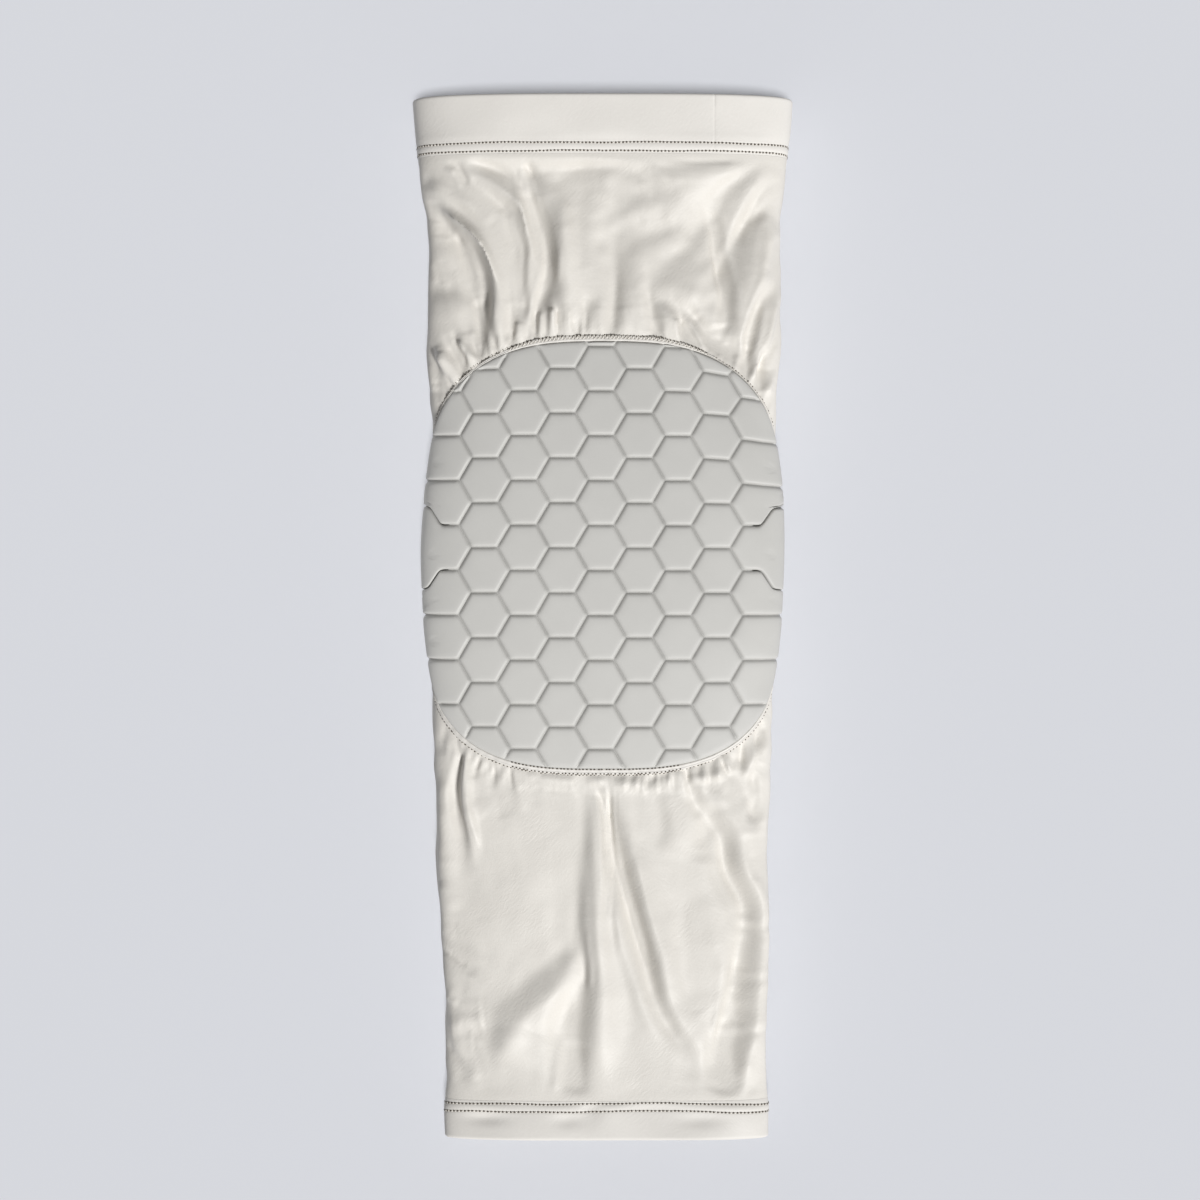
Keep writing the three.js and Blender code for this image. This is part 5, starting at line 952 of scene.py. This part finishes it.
fine = lambda a, b, n: list(np.linspace(a, b, n))
top_rows = fine(TOP_JOIN + 0.05, 170.0, 22) + fine(170.5, 184.3, 20) + [184.85]
join_columns = BAND_JOIN_S + np.array([-0.62, -0.31, -0.05, 0.27, 0.55])
top_band = hem_band("top_hem", top_rows, HALF_LENGTH, top_band_lift, HEM, extra=join_columns)
bottom_rows = fine(BOTTOM_JOIN - 0.05, -178.0, 26) + fine(-178.5, -184.3, 9) + [-184.85]
bottom_band = hem_band("bottom_hem", bottom_rows, -HALF_LENGTH, bottom_band_lift, HEM)


def hem_stitches(rows, row_y, lift_of, pitch, slant):
    """Rows of needle holes, each a dark piece painted with the hole's shade, with a slanted thread between each two."""
    parts = []
    for row, lean in zip(rows, slant):
        _, _, half = section_lengths(row)
        count = int(round(2 * half / pitch))
        s = -half + 2 * half * (np.arange(count) + 0.5) / count
        s = s + rng.uniform(-0.06, 0.06, count) * pitch
        y = row_y(s, row) + rng.uniform(-0.05, 0.05, count)
        A, _ = on_tube(s - 0.4, row_y(s - 0.4, row), 0)
        B, _ = on_tube(s + 0.4, row_y(s + 0.4, row), 0)
        P, N = on_tube(s, y, lift_of(s, y) + 0.11)
        parts.append((*thread_pieces(P, B - A, N, 0.50 * pitch * rng.uniform(0.88, 1.1, count), 0.35, squash=0.42, sink=0.15), 1))
        s2 = (s + pitch / 2)[:-1]
        y2 = row_y(s2, row)
        P2, N2 = on_tube(s2, y2, lift_of(s2, y2) + 0.07)
        A2, _ = on_tube(s2 - 0.4, row_y(s2 - 0.4, row), 0)
        B2, _ = on_tube(s2 + 0.4, row_y(s2 + 0.4, row), 0)
        run = (B2 - A2) / np.linalg.norm(B2 - A2, axis=1)[:, None]
        run = run * math.cos(lean) + np.cross(N2, run) * math.sin(lean)
        parts.append((*thread_pieces(P2, run, N2, 0.52 * pitch, 0.22), 0))
    return joined(parts)


v, f, k = hem_stitches(STITCH_TOP, top_row_y, top_band_lift, 1.30, (0.5, 0.0))
top_stitches = make_object("top_hem_stitches", v, f, THREAD, materials=[THREAD, HOLE_SHADE], material_index=k, sharp=None)
v, f, k = hem_stitches(STITCH_BOTTOM, bottom_row_y, bottom_band_lift, 1.40, (0.0, 0.9))
bottom_stitches = make_object("bottom_hem_stitches", v, f, THREAD, materials=[THREAD, HOLE_SHADE], material_index=k, sharp=None)

# ------------------------------------------------------------------ foam pad
def polygon_area(p):
    q = np.roll(p, -1, axis=0)
    return float(np.sum(p[:, 0] * q[:, 1] - q[:, 0] * p[:, 1]) / 2)


def clip_polygon(poly, outline):
    out = [tuple(p) for p in poly]
    for i in range(len(outline)):
        ax, ay = outline[i]
        bx, by = outline[(i + 1) % len(outline)]
        side = [(bx - ax) * (p[1] - ay) - (by - ay) * (p[0] - ax) for p in out]
        if not out or min(side) >= 0:
            continue
        kept = []
        for j, p in enumerate(out):
            q, sp, sq = out[(j + 1) % len(out)], side[j], side[(j + 1) % len(out)]
            if sp >= 0:
                kept.append(p)
            if (sp > 0 > sq) or (sp < 0 < sq):
                t = sp / (sp - sq)
                kept.append((p[0] + (q[0] - p[0]) * t, p[1] + (q[1] - p[1]) * t))
        out = kept
    return np.array(out)


def pad_cells():
    half, tip, flat = CELL_FLAT / 2, CELL_PITCH * 2 / 3, CELL_PITCH / 3
    rows = math.ceil(PAD_HALF_LENGTH / CELL_FLAT) + 1
    cells = []
    for k in range(-CELL_COLUMNS, CELL_COLUMNS + 1):
        for j in range(-rows, rows + 1):
            x, y = k * CELL_PITCH, CELL_ROW_Y + j * CELL_FLAT + (half if k % 2 else 0)
            cells.append([(x + tip, y), (x + flat, y + half), (x - flat, y + half), (x - tip, y), (x - flat, y - half), (x + flat, y - half)])
    column, far = (CELL_COLUMNS + 1) * CELL_PITCH, PAD_HALF_WIDTH + 20
    flare = [(54.6, 0.0), (55.6, 0.25), (56.4, 1.1), (59.3, 5.5), (60.1, 6.3), (61.2, 6.65), (64.0, 6.9), (far, 8.6)]

    def edge(j):
        y = CELL_ROW_Y + (j + 0.5) * CELL_FLAT
        rise = {0: 1, -1: -1}.get(j, 0)
        tail = [(s, y + rise * r) for s, r in flare] if rise else [(57.0, y), (64.0, y), (far, y)]
        return [(column - flat, y)] + tail

    def droop(s, y):
        """The rows sink a little towards the pad's upper corners, more on the right, and stand left of the middle."""
        upper = ease((abs(s) - 25) / 22) * ease((y - 70) / 22)
        outer = ease((s - 35) / 30) * ease((y - 35) / 20)
        aside = 0.75 + 0.40 * ease((y - 25) / 30) + s * (0.006 * ease((y - 25) / 30) - 0.007 * ease(-y / 30) - 0.009)
        up = 0.2 + 0.30 * ease((35 - s) / 60) * (0.4 + 0.6 * ease(y / 40))
        return (float(s - aside), float(y + up - (1.9 if s > 0 else 0.35) * upper - 2.4 * outer))

    for j in range(-rows, rows + 1):
        right = [(column - tip, CELL_ROW_Y + j * CELL_FLAT)] + edge(j - 1) + edge(j)[::-1]
        cells.append(right)
        cells.append([(-s, y) for s, y in right][::-1])
    return [[droop(s, y) for s, y in cell] for cell in cells]


def pad_height(s, y):
    r = np.minimum(1, pad_radius(s, y))
    along, round_ = np.abs(y - PAD_CENTRE_Y) / PAD_HALF_LENGTH, np.abs(s) / PAD_HALF_WIDTH
    edge = PAD_RIM + (PAD_SIDE_RIM - PAD_RIM) * ease((0.62 - along) / 0.34) * ease((round_ - 0.5) / 0.4)
    bow = 2.5 + 3.5 * ease((round_ - along) / 0.8 + 0.3)
    return edge + (PAD_TOP - edge) * (1 - r ** bow) - 0.25 * np.clip((r - 0.97) / 0.03, 0, 1) ** 2


# Across a cell's edge: distance in from the middle of the groove, height against the cell's top.
CELL_EDGE = np.array([(0.0, -1.0), (0.15, -0.96), (0.36, -0.76), (0.6, -0.52), (0.88, -0.31), (1.2, -0.15), (1.6, -0.05), (2.1, 0.0), (3.4, 0.05)])
RIM_SHARE = 0.4          # the pad's own edge is rounded this much as a groove's


def rim_drop(s, y):
    """How far the pad's own edge falls: little on the left and below, most at the upper right."""
    a = np.degrees(np.arctan2((y - PAD_CENTRE_Y) / PAD_HALF_LENGTH, s / PAD_HALF_WIDTH))
    return 0.45 + 0.55 * bell(a, 55, 22) + 0.25 * bell(a, 92, 14)


def flare_cut(s, y):
    """The two flared grooves on each side are cut deeper."""
    zone = ease((np.abs(s + 0.8) - 53.0) / 1.5) * ease((18 - np.abs(y - CELL_ROW_Y)) / 1.5) * ease((np.abs(y - CELL_ROW_Y) - 6.5) / 1.0)
    return 1.15 * zone * (pad_radius(s, y) < 0.985)


outline, _ = outline_by_length(OUTLINE_LENGTH * np.arange(260) / 260)
pad_verts, pad_faces, shared = [], [], {}


def pad_point(s, y, lift, share):
    """A new vertex of the pad, or the one that a neighbouring cell has already put there."""
    if share:
        a, c = math.floor(s * 50), math.floor(y * 50)
        for i in (a - 1, a, a + 1):
            for j in (c - 1, c, c + 1):
                for n in shared.get((i, j), ()):
                    if math.hypot(pad_verts[n][0] - s, pad_verts[n][1] - y) < 0.012:
                        return n
        shared.setdefault((a, c), []).append(len(pad_verts))
    pad_verts.append((s, y, lift))
    return len(pad_verts) - 1


def edge_distance(points, start, end, share):
    """Distance of points from the nearest edge, each edge's distance divided by its share."""
    d = end - start
    rel = points[:, None, :] - start[None]
    t = np.clip(np.sum(rel * d, axis=2) / np.maximum(np.sum(d * d, axis=1), 1e-12), 0, 1)
    return np.min(np.linalg.norm(rel - t[..., None] * d, axis=2) / share, axis=1)


def inside(points, start, end):
    """Which points lie inside a closed outline."""
    x, y = points[:, 0][:, None], points[:, 1][:, None]
    span = (start[:, 1] > y) != (end[:, 1] > y)
    cross = start[:, 0] + (y - start[:, 1]) * (end[:, 0] - start[:, 0]) / np.where(end[:, 1] == start[:, 1], 1e-9, end[:, 1] - start[:, 1])
    return np.sum(span & (x < cross), axis=1) % 2 == 1


def sees_all(points, start, end):
    """Which points see the whole of a closed outline."""
    d = end - start
    return np.all(d[:, 0] * (points[:, 1][:, None] - start[:, 1]) - d[:, 1] * (points[:, 0][:, None] - start[:, 0]) > 0.02, axis=1)


LIT = (math.sin(math.radians(38)), -math.cos(math.radians(38)))
RAY = np.linspace(0, 1, 241)
for cell in pad_cells():
    poly = clip_polygon(np.array(cell), outline)
    if len(poly) < 3:
        continue
    poly = poly[np.linalg.norm(poly - np.roll(poly, 1, axis=0), axis=1) > 0.015]
    if len(poly) < 3 or polygon_area(poly) < 0.2:
        continue
    start, end = poly, np.roll(poly, -1, axis=0)
    on_rim = (pad_radius(start[:, 0], start[:, 1]) > 0.9985) & (pad_radius(end[:, 0], end[:, 1]) > 0.9985)
    run = (end - start) / np.linalg.norm(end - start, axis=1)[:, None]
    facing = np.clip(1.6 * (run[:, 1] * LIT[0] - run[:, 0] * LIT[1]), 0, 1)
    share = np.where(on_rim, RIM_SHARE, np.where(flare_cut(*(0.5 * (start + end)).T) > 0.3, 0.45, 1.0) * (1 - 0.42 * facing))
    cuts = np.maximum(1, np.ceil(np.linalg.norm(end - start, axis=1) / 1.1).astype(int))
    border = np.vstack([start[i] + (end[i] - start[i]) * (np.arange(cuts[i]) / cuts[i])[:, None] for i in range(len(poly))])
    # The hub is the place farthest from every edge.
    lo, hi = poly.min(axis=0), poly.max(axis=0)
    gx, gy = np.meshgrid(np.linspace(lo[0], hi[0], 30), np.linspace(lo[1], hi[1], 30))
    trial = np.stack([gx.ravel(), gy.ravel()], 1)
    trial = trial[inside(trial, start, end)]
    trial = np.vstack([trial, poly.mean(axis=0)[None]])
    wide = sees_all(trial, start, end)
    trial = trial[wide] if wide.any() else trial
    best = trial[np.argmax(edge_distance(trial, start, end, share))]
    for span in (0.5, 0.25, 0.12, 0.06):
        near = best + span * np.stack(np.meshgrid(np.linspace(-1, 1, 7), np.linspace(-1, 1, 7)), -1).reshape(-1, 2)
        good = inside(near, start, end) & (sees_all(near, start, end) | (not wide.any()))
        best = near[np.argmax(np.where(good, edge_distance(near, start, end, share), -1))] if good.any() else best
    deepest = float(edge_distance(best[None], start, end, share)[0])
    if deepest < 2.4:
        share = share * max(0.35, deepest / 2.4)
        deepest = float(edge_distance(best[None], start, end, share)[0])
    count = len(border)
    line = best + (border - best)[:, None, :] * RAY[None, :, None]
    depth = edge_distance(line.reshape(-1, 2), start, end, share).reshape(count, -1)
    depth = np.minimum.accumulate(depth, axis=1)
    levels = [v for v in CELL_EDGE[:, 0] if v < 0.9 * deepest]
    loops = []
    for n, level in enumerate(levels):
        if n == 0:
            place = border
        else:
            at = np.array([np.interp(-level, -depth[i], RAY) for i in range(count)])
            place = best + (border - best) * at[:, None]
        height = np.interp(level, CELL_EDGE[:, 0], CELL_EDGE[:, 1])
        close = ease((pad_radius(place[:, 0], place[:, 1]) - 0.985) / 0.012)
        height = height * (1 - close * (1 - rim_drop(place[:, 0], place[:, 1])))
        lift = pad_height(place[:, 0], place[:, 1]) + height - flare_cut(place[:, 0], place[:, 1]) * (1 if level < 0.3 else 0)
        loops.append([pad_point(place[i, 0], place[i, 1], float(lift[i]), n == 0) for i in range(count)])
    last = np.array([pad_verts[i][:2] for i in loops[-1]])
    for f in (0.85, 0.68, 0.5, 0.3):
        place = best + (last - best) * f
        height = np.interp(edge_distance(place, start, end, share), CELL_EDGE[:, 0], CELL_EDGE[:, 1])
        lift = pad_height(place[:, 0], place[:, 1]) + height
        loops.append([pad_point(place[i, 0], place[i, 1], float(lift[i]), False) for i in range(count)])
    hub = pad_point(best[0], best[1], float(pad_height(best[0], best[1]) + np.interp(deepest, CELL_EDGE[:, 0], CELL_EDGE[:, 1])), False)
    for a, c in zip(loops[:-1], loops[1:]):
        for i in range(count):
            m = (i + 1) % count
            pad_faces.append([a[i], a[m], c[m], c[i]])
    for i in range(count):
        pad_faces.append([loops[-1][i], loops[-1][(i + 1) % count], hub])

edges = {}
for f in pad_faces:
    for i in range(len(f)):
        edges[(f[i], f[(i + 1) % len(f)])] = True
following = {a: b for a, b in edges if (b, a) not in edges}
rim = [next(iter(following))]
while following[rim[-1]] != rim[0]:
    rim.append(following[rim[-1]])
loop = rim
for scale, depth in [(1, 0.4), (1, -FABRIC_WALL), (0.93, -FABRIC_WALL), (0.8, -FABRIC_WALL), (0.62, -FABRIC_WALL), (0.42, -FABRIC_WALL), (0.2, -FABRIC_WALL)]:
    inner_loop = []
    for i, index in enumerate(rim):
        s, y, _ = pad_verts[index]
        inner_loop.append(pad_point(s * scale, PAD_CENTRE_Y + (y - PAD_CENTRE_Y) * scale, depth, False))
    for i in range(len(loop)):
        m = (i + 1) % len(loop)
        pad_faces.append([loop[m], loop[i], inner_loop[i], inner_loop[m]])
    loop = inner_loop
hub = pad_point(0.0, PAD_CENTRE_Y, -FABRIC_WALL, False)
for i in range(len(loop)):
    pad_faces.append([loop[(i + 1) % len(loop)], loop[i], hub])
flat = np.array(pad_verts)
points, _ = on_tube(flat[:, 0], flat[:, 1], flat[:, 2])
pad = make_object("hex_foam_pad", points, pad_faces, FOAM, uv=flat[:, :2], sharp=80)
# How far each vertex of the cells sinks below the cell's top, stored as the amount of painted shade in the grooves.
groove_shade = np.clip(pad_height(flat[:, 0], flat[:, 1]) - flat[:, 2], 0, 2) * (pad_radius(flat[:, 0], flat[:, 1]) < 0.985) * (flat[:, 2] > 0)
corner = np.empty(len(pad.data.loops), np.int32)
pad.data.loops.foreach_get("vertex_index", corner)
pad.data.uv_layers.new(name="depth").data.foreach_set("uv", np.stack([groove_shade, 0 * groove_shade], 1).astype(np.float32)[corner].ravel())

# ------------------------------------------------------------------ seam round the pad
# Across the strip: share of its width out from the pad, height.
SEAM_PROFILE = np.array([(0.0, -0.9), (0.0, 0.30), (0.06, 0.52), (0.20, 0.66), (0.36, 0.60), (0.47, 0.44), (0.54, 0.44), (0.66, 0.52), (0.82, 0.46), (0.96, 0.18), (1.0, -1.2)])
seam_n = 640
seam_u = OUTLINE_LENGTH * np.arange(seam_n) / seam_n
seam_w = seam_width(seam_u) * (1 + 0.06 * np.cos(2 * math.pi * 47 * seam_u / OUTLINE_LENGTH) + 0.05 * np.cos(2 * math.pi * 83 * seam_u / OUTLINE_LENGTH + 1))
ripple = 0.06 * np.cos(2 * math.pi * 131 * seam_u / OUTLINE_LENGTH) + 0.05 * np.cos(2 * math.pi * 53 * seam_u / OUTLINE_LENGTH + 1)
loops, uvs = [], []
for share, h in SEAM_PROFILE:
    edge_at, edge_out = outline_by_length(seam_u)
    place = edge_at + edge_out * (0.02 + share * seam_w)[:, None]
    up = h + (ripple if h > 0.1 else 0)
    P, _ = on_tube(place[:, 0], place[:, 1], up)
    loops.append(P)
    uvs.append(np.stack([seam_u, share * seam_w], 1))
count, faces = seam_n, []
for i in range(len(loops)):
    k = (i + 1) % len(loops)
    for j in range(count):
        m = (j + 1) % count
        faces.append([i * count + j, k * count + j, k * count + m, i * count + m])
binding = make_object("pad_seam", np.vstack(loops), [f[::-1] for f in faces], HEM, uv=np.vstack(uvs), sharp=70)


def seam_point(u, share, lift):
    """Places on the strip at shares of its width."""
    at, out = outline_by_length(u)
    place = at + out * (0.02 + share * seam_width(u))[:, None]
    return on_tube(place[:, 0], place[:, 1], lift)


def seam_height(share):
    return np.interp(share, SEAM_PROFILE[1:-1, 0], SEAM_PROFILE[1:-1, 1])


def seam_row(u, share, length, radius, kind, lift=0.06):
    """A row of short threads along the strip; with kind 1 they are dark pieces painted as the shade of needle holes."""
    share = np.broadcast_to(share, u.shape)
    P, N = seam_point(u, share, seam_height(share) + lift)
    Q, _ = seam_point(u + 0.3, share, seam_height(share) + lift)
    return (*thread_pieces(P, Q - P, N, length, radius, squash=0.5, sink=0.15), kind)


parts = []
# Overlock thread that zigzags over the wide part of the strip at the top.
zig = int(OUTLINE_LENGTH / 0.66 / 2) * 2
u0 = OUTLINE_LENGTH * (np.arange(zig) + rng.uniform(-0.16, 0.16, zig)) / zig
u1 = np.where(np.arange(zig) == zig - 1, OUTLINE_LENGTH + u0[0], np.roll(u0, -1))
share0 = np.where(np.arange(zig) % 2 == 0, 0.34, 0.95) + rng.uniform(-0.05, 0.05, zig)
share1 = np.roll(share0, -1)
angle = outline_degrees(u0)
at_top = (angle > 64) & (angle < 112)
A, NA = seam_point(u0, share0, seam_height(share0) + 0.06)
B, _ = seam_point(u1, share1, seam_height(share1) + 0.06)
lengths = np.linalg.norm(B - A, axis=1)
parts.append((*thread_pieces(((A + B) / 2 + NA * 0.08)[at_top], (B - A)[at_top], NA[at_top], lengths[at_top] * 1.02, 0.16), 0))
# Dark pieces in the gaps of the zigzag, painted with the shade between the threads.
gap_u = (u0 + 0.5 * OUTLINE_LENGTH / zig)[at_top]
parts.append(seam_row(gap_u, np.where(np.arange(len(gap_u)) % 2 == 0, 0.50, 0.80), 0.42, 0.24, 1, 0.04))
# Needle holes along the outer edge, dark pieces painted with the holes' shade, and a second row under the pad's lower
# edge.
pick_n = int(OUTLINE_LENGTH / 1.34)
pick_u = OUTLINE_LENGTH * (np.arange(pick_n) + rng.uniform(-0.16, 0.16, pick_n)) / pick_n
angle = outline_degrees(pick_u)
plain = (angle < -30) | ((angle > 66) & (angle < 112)) | (angle > 173)
parts.append(seam_row(pick_u[plain], 0.97 + rng.uniform(-0.03, 0.05, plain.sum()), 0.62 * rng.uniform(0.7, 1.15, plain.sum()), 0.25, 1, 0.05))
low = (angle > -109) & (angle < -76)
parts.append(seam_row(pick_u[low], 0.10, 0.74, 0.27, 1, 0.10))
parts.append(seam_row(pick_u[low] + 0.6, 0.80, 0.66, 0.25, 1, 0.06))
# Light threads over the outer edge, between the pricks.
parts.append(seam_row(pick_u + 0.67, 0.93, 0.62, 0.17, 0, 0.08))


def comb(u, offset, length, radius, kind):
    """Short pieces square to the seam, over the edge of the cloth."""
    at, out = outline_by_length(u)
    ends = []
    for more in (-0.3, 0.3):
        place = at + out * (seam_width(u) + offset + more)[:, None]
        ends.append(on_tube(place[:, 0], place[:, 1], body_lift(place[:, 0], place[:, 1]) + 0.07))
    return (*thread_pieces(0.5 * (ends[0][0] + ends[1][0]), ends[1][0] - ends[0][0], ends[0][1], length, radius, squash=0.5, sink=0.15), kind)


comb_n = int(OUTLINE_LENGTH / 1.42)
comb_u = OUTLINE_LENGTH * (np.arange(comb_n) + rng.uniform(-0.18, 0.18, comb_n)) / comb_n
angle = outline_degrees(comb_u)
left, right = (angle > 110) & (angle < 174), (angle > -32) & (angle < 58)
# Over the cloth's edge: dark pieces painted as the shade of the needle holes, with light threads between.
parts.append(comb(comb_u[left], 0.44 + rng.uniform(-0.08, 0.08, left.sum()), rng.uniform(0.5, 0.75, left.sum()), 0.15, 1))
parts.append(comb(comb_u[left] + 0.71, 0.16, 0.9, 0.2, 0))
parts.append(comb(comb_u[right], 0.15 + rng.uniform(-0.15, 0.15, right.sum()), rng.uniform(0.45, 0.8, right.sum()), 0.24, 1))
parts.append(comb(comb_u[right] + 0.71, 0.1, 0.7, 0.2, 0))
v, f, k = joined(parts)
seam_stitches = make_object("pad_seam_stitches", v, f, THREAD, materials=[THREAD, HOLE_SHADE], material_index=k, sharp=None)

# ------------------------------------------------------------------ pieces hung on the root in place of the CAD parts
for piece, node_name, slot in (
    (body, "sleeve_body", "stretch_fabric"),
    (top_band, "top_band", "hem_fabric"),
    (bottom_band, "bottom_band", "hem_fabric"),
    (pad, "hex_pad", "pad_foam"),
    (binding, "pad_binding", "seam_thread"),
):
    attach(piece, "root")
    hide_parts(node_name)
for piece in (top_stitches, bottom_stitches, seam_stitches):
    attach(piece, "root")

# ------------------------------------------------------------------ floor, light, camera
floor_mesh = bpy.data.meshes.new("floor")
floor_mesh.from_pydata([(-14, -14, 0), (14, -14, 0), (14, 14, 0), (-14, 14, 0)], [], [(0, 1, 2, 3)])
floor = bpy.data.objects.new("floor", floor_mesh)
floor.location.z = -0.0003
bpy.context.scene.collection.objects.link(floor)
m, t, p = new_material("floor_paper")
where = node(t, "ShaderNodeTexCoord")
grain = put(node(t, "ShaderNodeTexNoise"), Scale=3.0, Detail=3.0, Roughness=0.5)
t.links.new(where.outputs["Object"], grain.inputs["Vector"])
ramp = node(t, "ShaderNodeValToRGB")
ramp.color_ramp.elements[0].color, ramp.color_ramp.elements[1].color = (0.690, 0.703, 0.745, 1), (0.700, 0.713, 0.755, 1)
t.links.new(grain.outputs[0], ramp.inputs[0])
t.links.new(ramp.outputs[0], p.inputs["Base Color"])
p.inputs["Roughness"].default_value = 0.95
p.inputs["Specular IOR Level"].default_value = 0.1
floor_mesh.materials.append(m)

world = bpy.data.worlds.new("studio")
world.use_nodes = True
world.node_tree.nodes["Background"].inputs["Color"].default_value = (1.0, 1.0, 1.0, 1)
world.node_tree.nodes["Background"].inputs["Strength"].default_value = 0.18
bpy.context.scene.world = world

key = bpy.data.lights.new("key", "SUN")
key.energy = 3.44
key.angle = math.radians(10)
key_object = bpy.data.objects.new("key", key)
bpy.context.scene.collection.objects.link(key_object)


def aim(lamp, elevation, turn):
    e, a = math.radians(elevation), math.radians(turn)
    lamp.rotation_mode = "QUATERNION"
    lamp.rotation_quaternion = Vector((math.sin(a) * math.cos(e), -math.cos(a) * math.cos(e), math.sin(e))).to_track_quat("Z", "Y")


aim(key_object, 47, 36)
lit_sleeve = bpy.data.collections.new("lit_sleeve")
for piece in (body, top_band, bottom_band, pad, binding, top_stitches, bottom_stitches, seam_stitches):
    lit_sleeve.objects.link(piece)
key_object.light_linking.receiver_collection = lit_sleeve

fill = bpy.data.lights.new("fill", "SUN")
fill.energy = 0.55
fill.angle = math.radians(30)
fill_object = bpy.data.objects.new("fill", fill)
bpy.context.scene.collection.objects.link(fill_object)
aim(fill_object, 25, -85)
lit_pad = bpy.data.collections.new("lit_pad")
lit_pad.objects.link(pad)
fill_object.light_linking.receiver_collection = lit_pad

overhead = bpy.data.lights.new("overhead", "SUN")
overhead.energy = 2.55
overhead.angle = math.radians(10)
overhead_object = bpy.data.objects.new("overhead", overhead)
bpy.context.scene.collection.objects.link(overhead_object)
aim(overhead_object, 77, 4)
lit_floor = bpy.data.collections.new("lit_floor")
lit_floor.objects.link(floor)
overhead_object.light_linking.receiver_collection = lit_floor

camera = bpy.data.cameras.new("camera")
camera.sensor_fit = "HORIZONTAL"
camera.sensor_width = 36.0
camera.lens = 36.0 * CAMERA_FOCAL
camera.clip_start, camera.clip_end = 0.01, 50.0
camera_object = bpy.data.objects.new("camera", camera)
camera_object.location = (CAMERA_X * MM, CAMERA_Y * MM, CAMERA_HEIGHT * MM)
bpy.context.scene.collection.objects.link(camera_object)
bpy.context.scene.camera = camera_object
bpy.context.scene.view_settings.view_transform = "Standard"
bpy.context.scene.view_settings.look = "None"
